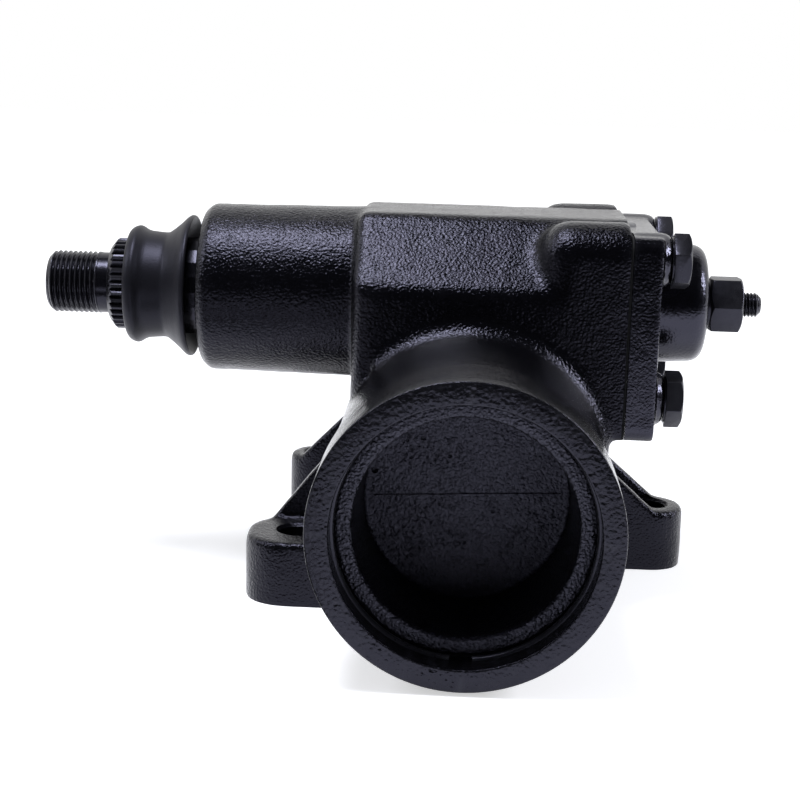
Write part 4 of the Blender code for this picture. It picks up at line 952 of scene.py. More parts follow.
@dataclass
class HousingCasting(Piece):
    """The casting: barrel, sector tower and boss, cover flange, ports, lugs and webs."""

    barrel_r: float = 0.0479
    body_r: float = 0.0462
    bore_r: float = 0.0381
    mouth_r: float = 0.0406
    mouth_depth: float = 0.0170
    valve_r: float = 0.0430
    valve_end: float = 0.2692
    tower_left: float = -0.0413
    tower_half: float = 0.0424
    tower_top: float = 0.0307
    tower_flat: float = 0.0194
    chamfer_drop: float = 0.0235
    boss_r: float = 0.0298
    foot: float = 0.0120
    seal_bore_r: float = 0.0233
    flange: float = 0.0110
    bolt_lug_r: float = 0.0125
    bolt_lug_reach: float = 0.0295
    lug_plane: float = -0.0490
    lug_top: float = -0.0265
    lug_hole_r: float = 0.0065
    chamber_r: float = 0.0285
    chamber_start: float = -0.0210
    tooth_pocket_r: float = 0.0330
    web: float = 0.0050
    lug_root: float = 0.0200
    neck_reach: float = 0.0075
    flare_r: float = 0.0174
    flare_waist: float = 0.0112
    flare_place: float = 0.0115
    swelling_drop: float = 0.0175
    swelling_round: float = 0.0095
    tower_round: float = 0.0060
    lug_round: float = 0.0018
    port_y: Pair = (0.2215, 0.2465)
    port_top: float = 0.0530
    port_r: float = 0.0115
    voxel: float = 0.0011
    rounds: int = 9
    waviness: float = 0.00035
    sharp_angle: float = 35.0
    lugs: tuple[LugPlan, ...] = (
        LugPlan(-0.0588, 0.0920, 0.0179, 0.0150, 0.010, (WebPlan(1, 0.0103, 0.0355),)),
        LugPlan(-0.0610, 0.2050, 0.0128, 0.0126, 0.0, (WebPlan(-1, 0.0075, 0.0285),)),
        LugPlan(0.0685, 0.1450, 0.0130, 0.0124, 0.006,
                (WebPlan(-1, 0.0008, 0.0256), WebPlan(1, 0.0022, 0.0258))),
    )

    def barrel(self) -> Obj:
        """Turn the barrel with its step to the valve end."""
        return self.bench.turned("barrel", [
            (0.0, self.valve_end + 0.002), (self.valve_r, self.valve_end + 0.002), (self.valve_r, 0.2137),
            (self.body_r, 0.2073), (self.body_r, 0.034), (self.barrel_r, 0.028), (self.barrel_r, 0.0015),
            (0.0, 0.0015)], Axis.Y, steps=128)

    def tower(self) -> Obj:
        """Build the sector tower.

        Returns:
            The block with its sloping shoulders.
        """
        shoulder, base = self.tower_top - self.chamfer_drop, self.foot - self.lines.sector_z
        half = [(self.tower_half, base), (self.tower_half, shoulder), (self.tower_flat, self.tower_top)]
        outline = [*half, *((-y, z) for y, z in reversed(half))]
        block = self.bench.prism("tower", outline, Axis.X, self.tower_left, self.lines.cover_face + 0.003,
                                 self.lines.line())
        at_end, above = self.tower_left + 0.001, self.foot + 0.001

        def share(first: Vector, second: Vector) -> float:
            """Round the left end's front edge most, its other edges and the long top ones half as much.

            Args:
                first: One end of the edge.
                second: Its other end.

            Returns:
                The share of the full rounding.
            """
            if max(first.x, second.x) < at_end:
                upright = abs(first.y - second.y) < 0.001
                return 1.0 if upright else 0.5 * (max(first.z, second.z) > above)
            return 0.5 * (min(first.z, second.z) > above and min(first.x, second.x) < at_end)

        return self.bench.rounded(block, self.tower_round, share)

    def swellings(self) -> list[Obj]:
        """Build the swellings behind the two upper bolts.

        Returns:
            Each swelling and the fillet where it runs out.
        """
        pieces = []
        start = self.lines.cover_face - self.bolt_lug_reach
        for i, (y, z) in enumerate(self.lines.bolts()[:2]):
            column = [*arc((0.0, 0.0), self.bolt_lug_r, 0, 180, 24), (-self.bolt_lug_r, -self.swelling_drop),
                      (self.bolt_lug_r, -self.swelling_drop)]
            swelling = self.bench.prism(f"bolt_lug_{i}", column, Axis.X, start, self.lines.cover_face, (y, z))
            self.bench.rounded(swelling, self.swelling_round, lambda a, b: float(max(a.x, b.x) < start + 0.001))
            pieces += [swelling, self.flare(i, (start + self.flare_place, y, z))]
        return pieces

    def flare(self, index: int, at: Point) -> Obj:
        """Build the wide fillet where a bolt's swelling runs out on the tower's slope.

        Args:
            index: Which swelling, the front one first.
            at: A point on the bolt's axis.

        Returns:
            The flared solid, square to the slope.
        """
        reach = self.flare_r - self.flare_waist
        curve = arc((self.flare_r, reach), reach, 270, 180, 8)
        profile = [(0.0, -0.004), (self.flare_r, -0.004), *curve, (0.0, reach)]
        flared = self.bench.turned(f"bolt_flare_{index}", profile, Axis.Z, steps=64)
        lean = math.atan2(self.chamfer_drop, self.tower_half - self.tower_flat)
        turn = Matrix.Rotation(-lean if index else lean, 4, "X")
        origin = self.bench.origin
        flared.data.transform(Matrix.Translation(origin + Vector(at)) @ turn @ Matrix.Translation(-origin))
        return flared

    def neck(self) -> Obj:
        """Build the flare where the barrel runs into the tower's front and rear faces.

        Returns:
            The flare, cut off beside the tower.
        """
        reach = self.neck_reach
        near, far = self.lines.sector_y - self.tower_half, self.lines.sector_y + self.tower_half
        flare = arc((self.body_r + reach, near - reach), reach, 180, 90, 10)
        back = arc((self.body_r + reach, far + reach), reach, 270, 180, 10)
        profile = [(0.0, far + reach), *reversed(back), *reversed(flare), (0.0, near - reach)]
        neck = self.bench.turned("neck", profile, Axis.Y, steps=128)
        left, right = self.tower_left + 0.008, self.lines.cover_face - 0.004
        keep = self.bench.prism("neck_keep", rectangle(-0.002, left, 0.085, right), Axis.Y, 0.05, 0.2)
        return self.bench.combine(neck, "INTERSECT", [keep])

    def lug(self, index: int) -> list[Obj]:
        """Build one mounting lug and its webs.

        Args:
            index: Which lug.

        Returns:
            The overlapping solids.
        """
        plan = self.lugs[index]
        side = math.copysign(1.0, plan.x)
        middle = plan.x + side * (plan.half - plan.corner)
        low, high = plan.y - plan.half, plan.y + plan.half
        first = arc((middle, low + plan.corner), plan.corner, 270, 270 + side * 90, 8)
        second = arc((middle, high - plan.corner), plan.corner, 0 if side > 0 else 180, 90, 8)
        outline = [(side * self.lug_root, low), *first, *second, (side * self.lug_root, high + plan.spread)]
        slab = self.bench.prism(f"lug_{index}", outline, Axis.Z, self.lug_plane - 0.002, self.lug_top)
        pieces = [self.bench.bevelled(slab, self.lug_round, 3, "ANGLE")]
        inner = side * (self.body_r - self.web)
        for web in plan.webs:
            outer = plan.x + side * web.start
            base, top = self.lug_top - 0.010, self.lug_top + web.rise
            across, half = plan.y + web.edge * (plan.half - self.web / 2), self.web / 2 + 0.0004
            name = f"web_{index}_{web.edge}"
            slope = [(base, outer), (self.lug_top + 0.0004, outer), (top, inner), (base, inner)]
            sheet = self.bench.prism(name, slope, Axis.Y, across - half, across + half)
            column = self.bench.prism(f"{name}_keep", outline, Axis.Z, self.lug_plane, top + 0.002)
            pieces.append(self.bench.combine(sheet, "INTERSECT", [column]))
        return pieces

    def solids(self) -> list[Obj]:
        """Build every solid that the casting grows together from.

        Returns:
            The overlapping solids.
        """
        face, top = self.lines.cover_face, self.port_top + 0.002
        boss = [(0.0, 0.070), (self.boss_r + 0.0009, 0.070), (self.boss_r, 0.004), (0.0, 0.004)]
        port = [(0.0, top), (self.port_r, top), (self.port_r + 0.001, 0.026), (0.0, 0.026)]
        return [
            self.barrel(), self.tower(), self.on_sector("boss", boss, self.lines.boss_end),
            self.bench.prism("flange", self.lines.cover_outline(), Axis.X, face - self.flange, face + 0.003,
                             (self.lines.sector_y, self.lines.cover_centre_z)),
            *self.swellings(), self.neck(),
            *(self.bench.turned(f"port_boss_{i}", port, Axis.Z, (0.0, y, 0.0))
              for i, y in enumerate(self.port_y)),
            *(solid for i in range(len(self.lugs)) for solid in self.lug(i)),
        ]

    def machining(self) -> list[Obj]:
        """Make the cutters of the faces and bores that a mill and a lathe leave.

        Returns:
            The cutters.
        """
        bench, face = self.bench, self.lines.cover_face
        port = [(0.0, 0.060), (0.0085, 0.060), (0.0085, self.port_top), (0.0068, self.port_top - 0.0015),
                (0.0068, 0.039), (0.0030, 0.039), (0.0030, 0.020), (0.0, 0.020)]
        hole = [(0.0, self.lug_top + 0.03), (0.0078, self.lug_top + 0.03), (0.0078, self.lug_top),
                (self.lug_hole_r, self.lug_top - 0.0010), (self.lug_hole_r, self.lug_plane + 0.0008),
                (0.0075, self.lug_plane - 0.001), (0.0, self.lug_plane - 0.001)]
        cutters = [
            bench.prism("flange_face", rectangle(0.02, -0.002, 0.24, 0.12), Axis.X, face, face + 0.012),
            bench.prism("lug_plane", rectangle(-0.12, 0.0, 0.12, 0.3), Axis.Z, self.lug_plane - 0.012,
                        self.lug_plane),
            bench.rod("valve_face", 0.07, 0.01, Axis.Y, (0.0, self.valve_end, 0.0)),
            bench.turned("main_bore", stepped(
                0.29, (0.0333, 0.2529), (0.0255, 0.2105), (0.0160, 0.2065), (self.bore_r, self.mouth_depth),
                (self.mouth_r, -0.01)), Axis.Y, steps=128),
            self.on_sector("sector_bore", stepped(0.0753, (0.0214, 0.030), (self.seal_bore_r, -0.01)),
                           self.lines.boss_end),
            self.sector_rod("chamber", self.chamber_r, 0.09, self.chamber_start),
            bench.prism("tooth_pocket", arc((0.0, 0.0), self.tooth_pocket_r, 185, 355, 24), Axis.X,
                        self.chamber_start, face + 0.005, self.lines.line()),
        ]
        for i, y in enumerate(self.port_y):
            cutters.append(bench.turned(f"port_hole_{i}", port, Axis.Z, (0.0, y, 0.0), 48))
            cutters.append(bench.rod(f"port_face_{i}", 0.0155, 0.009, Axis.Z, (0.0, y, self.port_top)))
        for i, plan in enumerate(self.lugs):
            cutters.append(bench.turned(f"lug_hole_{i}", hole, Axis.Z, (plan.x, plan.y, 0.0), 48))
        cutters += self.bolt_holes(face - 0.0166, 0.0195)
        LOG.info("%d machining cutters", len(cutters))
        return cutters

    def crisp(self) -> list[Obj]:
        """Turn the rims whose machined edges stay crisp.

        Returns:
            The rims of the barrel's mouth and of the boss end.
        """
        groove = self.mouth_r + 0.0021
        rim = eased([(self.mouth_r, 0.0), (self.mouth_r, 0.0075), (groove, 0.0077), (groove, 0.0106),
                     (self.mouth_r, 0.0109), (self.mouth_r, 0.0140), (self.barrel_r - 0.002, 0.0140),
                     (self.barrel_r, 0.0110), (self.barrel_r, 0.0)], 0.0007)
        end = eased([(self.seal_bore_r, 0.0), (self.seal_bore_r, 0.012), (self.boss_r - 0.001, 0.012),
                     (self.boss_r + 0.0001, 0.009), (self.boss_r, 0.0030), (self.boss_r - 0.0026, 0.0)],
                    0.0014, 4)
        return [self.bench.turned("mouth_rim", rim[::-1], Axis.Y, steps=160),
                self.on_sector("boss_rim", end[::-1], self.lines.boss_end, 128)]

    def build(self) -> Obj:
        """Make and dress the casting.

        Returns:
            The dressed casting.
        """
        body = self.bench.joined("casting", self.solids())
        across, up = self.lines.bolts()[0]
        left = self.lines.cover_face - self.bolt_lug_reach
        self.bench.cast(body, self.voxel, self.rounds, self.waviness, (
            ((left - 0.009, across - 0.018, up - 0.018), (left + 0.010, across + 0.018, up + 0.018), 14),
            ((left + 0.010, across - 0.002, up - 0.002), (left + 0.026, across + 0.020, up + 0.018), 14),
        ))
        self.bench.combine(body, "DIFFERENCE", self.machining())
        self.bench.combine(body, "UNION", self.crisp())
        self.bench.dress(body, CAST_PAINT, Body.HOUSING, Slot.PAINT, self.sharp_angle, ("gear_housing",))
        body.data.materials.append(self.bench.finish(RIM_PAINT))
        mouth = self.bench.origin.y + 0.0003
        for polygon in body.data.polygons:
            if polygon.center.y < mouth and polygon.normal.y < -0.9:
                polygon.material_index = 1
        return body


@dataclass
class SideCover(Piece):
    """The side cover with its hub and bolt pads."""

    start: float = 0.0527
    end: float = 0.0625
    pad_end: float = 0.0655
    pad_r: float = 0.0084
    hub_r: float = 0.0208
    hub_end: float = 0.0815
    hub_round: float = 0.0050
    pilot_r: float = 0.0282
    nose_r: float = 0.0168
    lash_hole_r: float = 0.0047
    hub_face_r: float = 0.0105
    voxel: float = 0.0008
    rounds: int = 6
    waviness: float = 0.00022

    def build(self) -> Obj:
        """Make and dress the cover.

        Returns:
            The dressed cover.
        """
        centre = (self.lines.sector_y, self.lines.cover_centre_z)
        plate = self.bench.prism("cover_plate", self.lines.cover_outline(), Axis.X, self.start - 0.002,
                                 self.end, centre)
        dome = arc((self.hub_r - self.hub_round, self.hub_end - self.hub_round), self.hub_round, 90, 0, 10)
        hub_line = [(0.0, self.hub_end), *dome, (self.hub_r + 0.001, self.end),
                    (self.hub_r + 0.003, self.end - 0.002), (0.0, self.end - 0.002)]
        hub = self.on_sector("cover_hub", hub_line, 0.0, 128)
        foot = self.pad_r + 0.0010
        pad = eased([(0.0, self.pad_end), (self.pad_r, self.pad_end), (foot, self.end), (foot, self.start),
                     (0.0, self.start)], 0.0009)
        pads = [self.bench.turned(f"pad_{i}", pad, Axis.X, (0.0, y, z), 64)
                for i, (y, z) in enumerate(self.lines.bolts())]
        body = self.bench.joined("cover", [plate, hub, *pads])
        self.bench.cast(body, self.voxel, self.rounds, self.waviness)
        pilot = self.sector_rod("pilot", self.pilot_r, 0.013, self.start - 0.010)
        face = self.bench.prism("cover_face", rectangle(0.02, -0.02, 0.24, 0.12), Axis.X, self.start - 0.006,
                                self.start)
        self.bench.combine(body, "DIFFERENCE", [face])
        self.bench.combine(body, "UNION", [pilot])
        cutters = [self.sector_rod("nose_bore", self.nose_r, 0.0217, self.start - 0.0105),
                   self.sector_rod("lash_hole", self.lash_hole_r, 0.03, 0.060, 48),
                   self.sector_rod("hub_face", self.hub_face_r, 0.01, self.hub_end - 0.0001, 64)]
        cutters += self.bolt_holes(self.start - 0.005, 0.03)
        self.bench.combine(body, "DIFFERENCE", cutters)
        return self.bench.dress(body, COVER_PAINT, Body.HOUSING, Slot.PAINT, 35.0, ("side_cover",))


@dataclass
class HexFasteners(Piece):
    """The four cover bolts and the adjuster's lock nut."""

    pad_end: float = 0.0658
    bolt_flats: float = 0.0170
    bolt_head: float = 0.0064
    shank_r: float = 0.0048
    nut_flats: float = 0.0184
    nut_start: float = 0.0818
    nut_collar: float = 0.0020
    nut_length: float = 0.0110
    edge_round: float = 0.00035
    turns: tuple[float, ...] = (40.3, 52.0, 13.6, 8.0)

    def head(self, name: str, flats: float, at: Point, length: float, both: bool, turn: float) -> Obj:
        """Build a hex head with rounded corners.

        Args:
            name: The object's name.
            flats: Size across flats.
            at: The head's base on its axis.
            length: How thick it is.
            both: Whether both ends are rounded.
            turn: How far it is turned, in degrees.

        Returns:
            The head.
        """
        body = self.bench.prism(name, hexagon(flats, turn), Axis.X, at[0], at[0] + length, (at[1], at[2]))
        corner = flats / math.sqrt(3) + 0.0006
        flat = flats / 2 * 0.96
        fall = (corner - flat) * 0.55
        base = [(corner, fall), (flat, 0.0), (0.0, 0.0)] if both else [(corner, 0.0), (0.0, 0.0)]
        edge = [(0.0, length), (flat, length), (corner, length - fall), *base]
        trim = self.bench.turned(f"{name}_trim", edge, Axis.X, at, 64)
        self.bench.combine(body, "INTERSECT", [trim])
        return self.bench.bevelled(body, self.edge_round, 2, "ANGLE", 25.0)

    def build(self) -> list[Obj]:
        """Make and dress the bolts and the nut.

        Returns:
            The dressed fasteners.
        """
        made = []
        washer_face = eased(stepped(0.0008, (self.bolt_flats * 0.47, 0.0)), 0.0002)
        shank_line = eased(stepped(0.034, (self.shank_r, 0.0)), 0.0006)
        for i, (y, z) in enumerate(self.lines.bolts()):
            name = f"bolt_{i + 1}"
            head = self.head(f"{name}_head", self.bolt_flats, (self.pad_end + 0.0006, y, z),
                             self.bolt_head - 0.0006, False, self.turns[i])
            face = self.bench.turned(f"{name}_face", washer_face, Axis.X, (self.pad_end, y, z), 48)
            shank = self.bench.turned(f"{name}_shank", shank_line, Axis.X, (self.pad_end - 0.0312, y, z), 32)
            bolt = self.bench.combine(head, "UNION", [face, shank])
            bolt.name = f"hex_{name}"
            made.append(self.bench.dress(bolt, FASTENER_PAINT, Body.HOUSING, Slot.BLACK_STEEL, 32.0,
                                         (self.node_at(y, z),)))
        at = self.lines.sector(self.nut_start + self.nut_collar - 0.0004)
        nut = self.head("lock_nut", self.nut_flats, at, self.nut_length + 0.0004, True, 0.0)
        collar = self.on_sector("nut_collar", eased(stepped(0.0026, (0.0085, 0.0)), 0.0006), self.nut_start, 64)
        self.bench.combine(nut, "UNION", [collar])
        hole = self.on_sector("nut_hole", [(0.0, 0.02), (0.0058, 0.02), (0.0058, 0.0125), (0.00475, 0.0112),
                                           (0.00475, -0.002), (0.0, -0.002)], self.nut_start, 48)
        self.bench.combine(nut, "DIFFERENCE", [hole])
        made.append(self.bench.dress(nut, FASTENER_PAINT, Body.HOUSING, Slot.BLACK_STEEL, 32.0,
                                     ("lash_adjuster_lock_nut",)))
        return made

    def node_at(self, y: float, z: float) -> str:
        """Name the cover bolt whose solid lies nearest to a place in the gear's frame.

        Args:
            y: The place along the barrel.
            z: The place's height.

        Returns:
            The solid's name.
        """
        target = self.bench.origin.yz + Vector((y, z))
        middles = {f"cover_bolt_{i}": sum(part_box(f"cover_bolt_{i}"), Vector()).yz / 2 for i in range(1, 5)}
        return min(middles, key=lambda node: (middles[node] - target).length)


@dataclass
class BarrelClosure(Piece):
    """The deep end plug and the wire ring that keeps it in."""

    flange_r: float = 0.0400
    outer_r: float = 0.0378
    face: float = 0.0109
    cup_mouth_r: float = 0.0345
    cup_floor_r: float = 0.0331
    cup_floor: float = 0.0462
    wire_r: float = 0.0013
    wire_circle: float = 0.0408
    wire_y: float = 0.0091
    wire_steps: int = 120
    gap: float = 10.0
    mark_r: float = 0.0011
    mark_x: float = -0.0297
    mark_z: float = 0.0082
    seam_half: float = 0.0300
    corner: float = 0.0016

    def build(self) -> list[Obj]:
        """Make and dress the plug and the ring.

        Returns:
            The dressed pieces.
        """
        outer = eased([(0.0, 0.0512), (self.outer_r, 0.0512), (self.outer_r, 0.0167), (self.flange_r, 0.0167),
                       (self.flange_r, self.face), (self.cup_mouth_r, self.face),
                       (self.cup_floor_r, self.cup_floor), (0.0, self.cup_floor)], self.corner, 4)
        plug = self.bench.turned("bore_plug", outer, Axis.Y, steps=128)
        at = (self.mark_x, self.cup_floor - 0.0025, self.mark_z)
        mark = self.bench.rod("centre_mark", self.mark_r, 0.004, Axis.Y, at, 24)
        seam_line = [(-0.0008, -self.seam_half), (0.0021, self.seam_half), (0.0030, self.seam_half),
                     (0.0001, -self.seam_half)]
        seam = self.bench.prism("seam", seam_line, Axis.Y, self.cup_floor - 0.0006, self.cup_floor + 0.002)
        self.bench.combine(plug, "UNION", [seam])
        self.bench.combine(plug, "DIFFERENCE", [mark])
        dressed = self.bench.dress(plug, PLUG_PAINT, Body.HOUSING, Slot.PAINT, 40.0, ("end_plug",))
        curve = bpy.data.curves.new("retaining_wire", "CURVE")
        curve.dimensions = "3D"
        curve.bevel_depth = self.wire_r
        curve.bevel_resolution = 5
        curve.use_fill_caps = True
        line = curve.splines.new("POLY")
        line.points.add(self.wire_steps)
        half = math.radians(self.gap / 2)
        for i in range(self.wire_steps + 1):
            turn = -math.pi / 2 + half + (2 * math.pi - 2 * half) * i / self.wire_steps
            x, z = self.wire_circle * math.cos(turn), self.wire_circle * math.sin(turn)
            line.points[i].co = (*(self.bench.origin + Vector((x, self.wire_y, z))), 1.0)
        loose = placed("wire_line", curve)
        mesh = bpy.data.meshes.new_from_object(loose.evaluated_get(bpy.context.evaluated_depsgraph_get()))
        bpy.data.objects.remove(loose)
        wire = self.bench.dress(placed("retaining_wire", mesh), FASTENER_PAINT, Body.HOUSING, Slot.BLACK_STEEL,
                                40.0, ("end_plug_retaining_ring",))
        return [dressed, wire]


@dataclass
class OutputShaft(Piece):
    """The visible end of the sector shaft, and the toothed part kept from the solid."""

    thread_end: float = -0.1532
    thread_length: float = 0.0184
    thread_r: float = 0.0111
    thread_depth: float = 0.0010
    pitch: float = 0.00181
    spline_start: float = -0.1304
    spline_length: float = 0.0224
    spline_r: float = 0.0163
    spline_depth: float = 0.0011
    splines: int = 36

    def radius(self, along: float, turn: float) -> float:
        """Work out the shaft's radius.

        Args:
            along: Distance from the threaded end.
            turn: Turn about the axis in radians.

        Returns:
            The radius there.
        """
        neck = self.spline_start - self.thread_end
        chamfer = self.thread_r - 0.0018 + along
        if along <= self.thread_length:
            fade = min(1.0, (self.thread_length - along) / self.pitch)
            return min(self.thread_r - self.thread_depth * thread(along / self.pitch, turn) * fade, chamfer)
        if along < neck:
            return self.thread_r - 0.0002
        ridge = self.spline_r - self.spline_depth * trough(turn * self.splines / (2 * math.pi), 3.0, 0.45)
        return min(ridge, self.spline_r - 0.0024 + (along - neck) * 1.2)

    def stations(self) -> list[float]:
        """Choose where along the shaft the radius is worked out.

        Returns:
            Distances from the threaded end.
        """
        neck = self.spline_start - self.thread_end
        rows = [i * self.pitch / 9 for i in range(int(self.thread_length / self.pitch * 9) + 1)]
        rows += [self.thread_length + 0.0001, neck - 0.0001, neck]
        rows += [neck + 0.0003 * i for i in range(1, 9)]
        rows.append(neck + self.spline_length)
        return rows

    def build(self) -> Obj:
        """Make and dress the shaft.

        Returns:
            The dressed shaft.
        """
        end = self.bench.relief("shaft_end", self.stations(), self.radius, Axis.X,
                                self.lines.sector(self.thread_end), self.splines * 8)
        solid = placed("shaft_inside", frame["nodes"]["sector_shaft"].data.copy())
        split = self.bench.origin.x + self.spline_start + self.spline_length - 0.0002
        edit = bmesh.new()
        edit.from_mesh(solid.data)
        cut = bmesh.ops.bisect_plane(edit, geom=[*edit.verts, *edit.edges, *edit.faces], dist=1e-7,
                                     plane_co=(split, 0.0, 0.0), plane_no=(-1.0, 0.0, 0.0), clear_outer=True)
        rim = [e for e in cut["geom_cut"] if isinstance(e, bmesh.types.BMEdge)]
        bmesh.ops.holes_fill(edit, edges=rim)
        edit.to_mesh(solid.data)
        edit.free()
        shaft = self.bench.joined("output_shaft_and_sector", [end, solid])
        return self.bench.dress(shaft, SHAFT_PAINT, Body.OUTPUT, Slot.STEEL, 30.0, ("sector_shaft",))


@dataclass
class RubberBoot(Piece):
    """The boot on the serrations, spool-shaped with a rolled lip."""

    rim_x: float = -0.1240
    grip: float = 0.0166

    def build(self) -> Obj:
        """Make and dress the boot.

        Returns:
            The dressed boot.
        """
        outside = [(self.grip, 0.0), (0.0196, 0.0002), (0.0205, 0.0012), (0.0210, 0.0024), (0.0211, 0.0034),
                   (0.0206, 0.0044), (0.0198, 0.0056), (0.0193, 0.0070), (0.0190, 0.0100), (0.0188, 0.0128),
                   (0.0190, 0.0140), (0.0206, 0.0162), (0.0228, 0.0188), (0.0246, 0.0206), (0.0254, 0.0218),
                   (0.0253, 0.0228), (0.0247, 0.0232)]
        inside = [(0.0240, 0.0226), (0.0222, 0.0206), (0.0200, 0.0180), (0.0182, 0.0158), (self.grip, 0.0144)]
        profile = eased([*outside, *inside], 0.0006, 2)
        boot = self.on_sector("boot", profile[::-1], self.rim_x, 128)
        return self.bench.dress(boot, RUBBER, Body.OUTPUT, Slot.RUBBER, 60.0, ("dust_boot",))


@dataclass
class LashScrew(Piece):
    """The adjuster screw with its thread and drive end."""

    end: float = 0.1017
    r: float = 0.0044
    pitch: float = 0.00125
    thread_depth: float = 0.0006
    start: float = 0.0700

    def radius(self, along: float, turn: float) -> float:
        """Return the threaded radius at a distance from the inner end and a turn."""
        chamfer = self.r - 0.0016 + (self.length() - along)
        return min(self.r - self.thread_depth * thread(along / self.pitch, turn), chamfer)

    def length(self) -> float:
        """Return the thread's length from inside the hub to its end."""
        return self.end - self.start

    def build(self) -> Obj:
        """Make and dress the screw.

        Returns:
            The dressed screw.
        """
        rows = [i * self.pitch / 8 for i in range(int(self.length() / self.pitch * 8))] + [self.length()]
        screw = self.bench.relief("lash_thread", rows, self.radius, Axis.X, self.lines.sector(self.start), 48)
        shank = self.on_sector("lash_head", stepped(0.0136, (0.0037, 0.0036), (0.0080, 0.0)), 0.0571, 48)
        self.bench.combine(screw, "UNION", [shank])
        socket = self.bench.prism("lash_socket", hexagon(0.0045), Axis.X, self.end - 0.0045, self.end + 0.002,
                                  self.lines.line())
        self.bench.combine(screw, "DIFFERENCE", [socket])
        screw.name = "lash_screw_threaded"
        return self.bench.dress(screw, SHAFT_PAINT, Body.LASH, Slot.BLACK_STEEL, 30.0, ("lash_adjuster_screw",))


@dataclass
class CarriedSolids:
    """The solids that keep their own shape and take a finish."""

    finishes: dict[str, Finish] = field(default_factory=lambda: {
        "black_paint": CAST_PAINT, "machined_steel": STEEL, "black_steel": FASTENER_PAINT, "rubber": RUBBER,
        "brass": BRASS, "gasket": FIBRE, "ptfe": SEAL_RING,
    })

    def build(self, bench: Bench) -> int:
        """Dress each shown solid by its slot in the record.

        Args:
            bench: Where the finishes are kept.

        Returns:
            How many solids were dressed.
        """
        slots = {part["node"]: part["material_slot"] for part in frame["record"]["subparts"]}
        count = 0
        for node, obj in frame["nodes"].items():
            if obj.hide_render:
                continue
            finish = self.finishes[slots[node]]
            obj.data.materials.clear()
            obj.data.materials.append(bench.finish(finish))
            LOG.info("%s: kept, in %s", node, finish.name)
            count += 1
        return count


# The studio


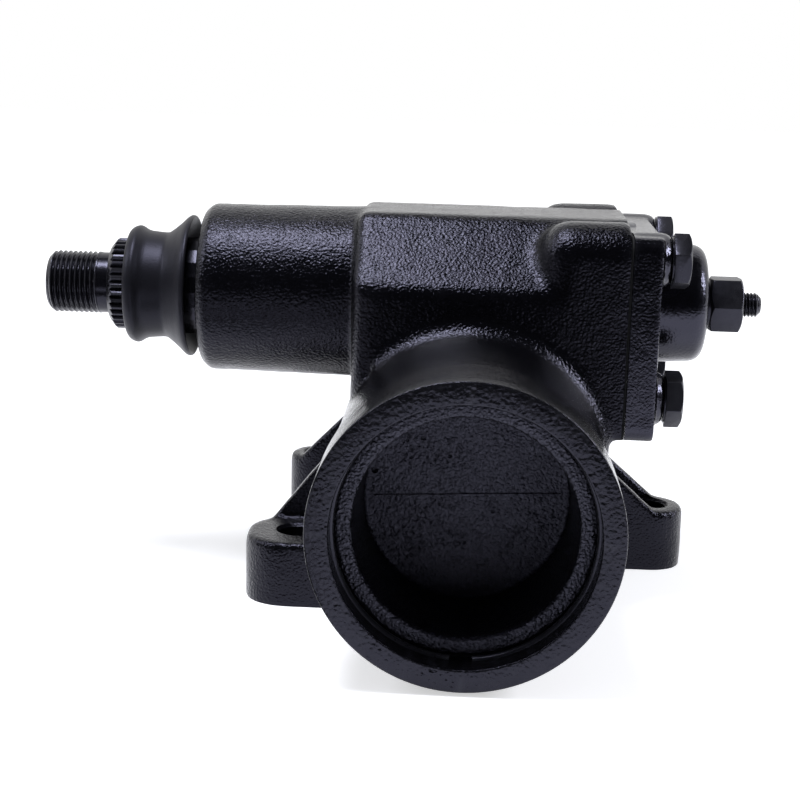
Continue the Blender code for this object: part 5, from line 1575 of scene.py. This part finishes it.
@dataclass
class Studio:
    """Pale floor, soft lamps and the camera at the photograph's angle."""

    focal: float = 76.5
    rise: float = 0.216455
    swing: float = 0.0430535
    roll: float = 0.0285292
    eye: Point = (0.000398, -0.480469, 0.147422)
    floor_size: float = 6.0
    shadow_reach: float = 0.22
    white_from: float = 0.8
    shadow_glow: float = 0.55
    fill: float = 0.3

    def camera(self, bench: Bench) -> None:
        """Set up the camera.

        Args:
            bench: Holds the gear's place.
        """
        back = Vector((math.sin(self.swing) * math.cos(self.rise), -math.cos(self.swing) * math.cos(self.rise),
                       math.sin(self.rise)))
        right = (-back).cross(Vector((0.0, 0.0, 1.0))).normalized()
        up = back.cross(right)
        side = right * math.cos(self.roll) + up * math.sin(self.roll)
        top = up * math.cos(self.roll) - right * math.sin(self.roll)
        data = bpy.data.cameras.new("camera")
        data.lens = self.focal
        data.sensor_width = 36.0
        data.clip_start = 0.01
        obj = placed("camera", data)
        turn = Matrix((side, top, back)).transposed().to_4x4()
        obj.matrix_world = Matrix.Translation(bench.origin + Vector(self.eye)) @ turn
        bpy.context.scene.camera = obj

    def lamp(self, name: str, place: Point, target: Point, size: Pair, power: float) -> None:
        """Hang one soft box.

        Args:
            name: The lamp's name.
            place: Where it hangs.
            target: What it points at.
            size: Its width and height.
            power: Its power in watts.
        """
        data = bpy.data.lights.new(name, "AREA")
        data.shape = "RECTANGLE"
        data.size, data.size_y = size
        data.energy = power
        data.color = LAMP_BLUE
        obj = placed(name, data)
        obj.location = place
        obj.rotation_euler = (Vector(place) - Vector(target)).to_track_quat("Z", "Y").to_euler()

    def card(self, name: str, size: Pair, material: bpy.types.Material) -> Obj:
        """Lay a flat card about the origin.

        Args:
            name: The card's name.
            size: Its width and height.
            material: Its material.

        Returns:
            The card.
        """
        u, v = size[0] / 2, size[1] / 2
        mesh = bpy.data.meshes.new(name)
        mesh.from_pydata([(-u, -v, 0.0), (u, -v, 0.0), (u, v, 0.0), (-u, v, 0.0)], [], [(0, 1, 2, 3)])
        mesh.materials.append(material)
        obj = placed(name, mesh)
        return obj

    def flag(self, name: str, place: Point, target: Point, size: Pair) -> None:
        """Hang one black card that only reflections see.

        Args:
            name: The card's name.
            place: Its middle.
            target: What it faces.
            size: Its width and height.
        """
        material = bpy.data.materials.new(name)
        material.use_nodes = True
        tree = Tree(material.node_tree)
        cloth = tree.add("BsdfDiffuse", Color=CARD_BLACK)
        tree.wire(cloth.outputs["BSDF"], tree.add("OutputMaterial").inputs["Surface"])
        obj = self.card(name, size, material)
        obj.location = place
        obj.rotation_euler = (Vector(target) - Vector(place)).to_track_quat("Z", "Y").to_euler()
        obj.visible_camera = obj.visible_diffuse = obj.visible_shadow = obj.visible_transmission = False

    def floor(self) -> None:
        """Lay the pale floor, which shows white to the camera and keeps the shadow."""
        material = bpy.data.materials.new("pale_floor")
        material.use_nodes = True
        tree = Tree(material.node_tree)
        paper = tree.add("BsdfDiffuse", Color=PALE)
        glow = tree.add("Emission", Color=WHITE)
        away = tree.add("VectorMath")
        away.operation = "LENGTH"
        tree.wire(tree.add("TexCoord").outputs["Object"], away.inputs[0])
        strength = tree.span(away.outputs["Value"], self.shadow_reach, self.white_from, self.shadow_glow, 1.0)
        tree.wire(strength, glow.inputs["Strength"])
        both = tree.add("AddShader")
        tree.wire(paper.outputs["BSDF"], both.inputs[0])
        tree.wire(glow.outputs["Emission"], both.inputs[1])
        tree.shown(paper.outputs["BSDF"], both.outputs["Shader"], tree.add("OutputMaterial"))
        self.card("floor", (self.floor_size, self.floor_size), material)

    def world(self) -> None:
        """Fill the room with plain light: white where it is seen, dimmer where it lights."""
        world = bpy.data.worlds.new("room")
        bpy.context.scene.world = world
        world.use_nodes = True
        tree = Tree(world.node_tree)
        seen = tree.add("Background", Color=WHITE, Strength=1.0)
        fill = tree.add("Background", Color=FILL_BLUE, Strength=self.fill)
        tree.shown(fill.outputs["Background"], seen.outputs["Background"], tree.add("OutputWorld"))

    def build(self, bench: Bench) -> None:
        """Set the studio up.

        Args:
            bench: Holds the gear's place.
        """
        self.camera(bench)
        self.floor()
        self.world()
        gear = (0.0, 0.0, 0.08)
        self.lamp("overhead_box", (-0.13, -0.13, 0.60), gear, (0.24, 0.20), 3.2)
        self.lamp("left_box", (-0.85, -0.15, 0.7), gear, (0.22, 0.4), 3.0)
        self.lamp("right_box", (0.80, -0.12, 0.50), gear, (0.18, 0.32), 5.0)
        # Black card lying on the floor in front of the gear's left side, seen only in reflections: painted
        # shade that darkens the floor as the lower left-facing surfaces reflect it.
        self.flag("floor_shade_card", (-0.26, -0.195, 0.0008), (-0.26, -0.195, 1.0), (0.44, 0.13))
        self.flag("front_flag", (0.0, -0.44, 0.625), (0.0, 0.0, 0.625), (2.2, 1.25))
        self.flag("left_flag", (-1.1, -0.22, 0.625), (0.0, -0.22, 0.625), (0.46, 1.25))
        self.flag("right_flag", (1.1, -0.22, 0.625), (0.0, -0.22, 0.625), (0.46, 1.25))
        self.flag("canopy", (0.0, 0.0, 1.25), (0.0, 0.0, 0.0), (2.2, 1.0))
        bpy.context.scene.view_settings.view_transform = "Standard"


def main() -> None:
    """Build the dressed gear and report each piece."""
    logging.basicConfig(level=logging.INFO, format="%(name)s %(message)s")
    bench = Bench()
    lines = GearLines()
    Studio().build(bench)
    for piece in (HousingCasting, SideCover, HexFasteners, BarrelClosure, OutputShaft, RubberBoot, LashScrew):
        piece(bench, lines).build()
    kept = CarriedSolids().build(bench)
    LOG.info("%d solids keep their own shape", kept)


if __name__ == "__main__":
    main()
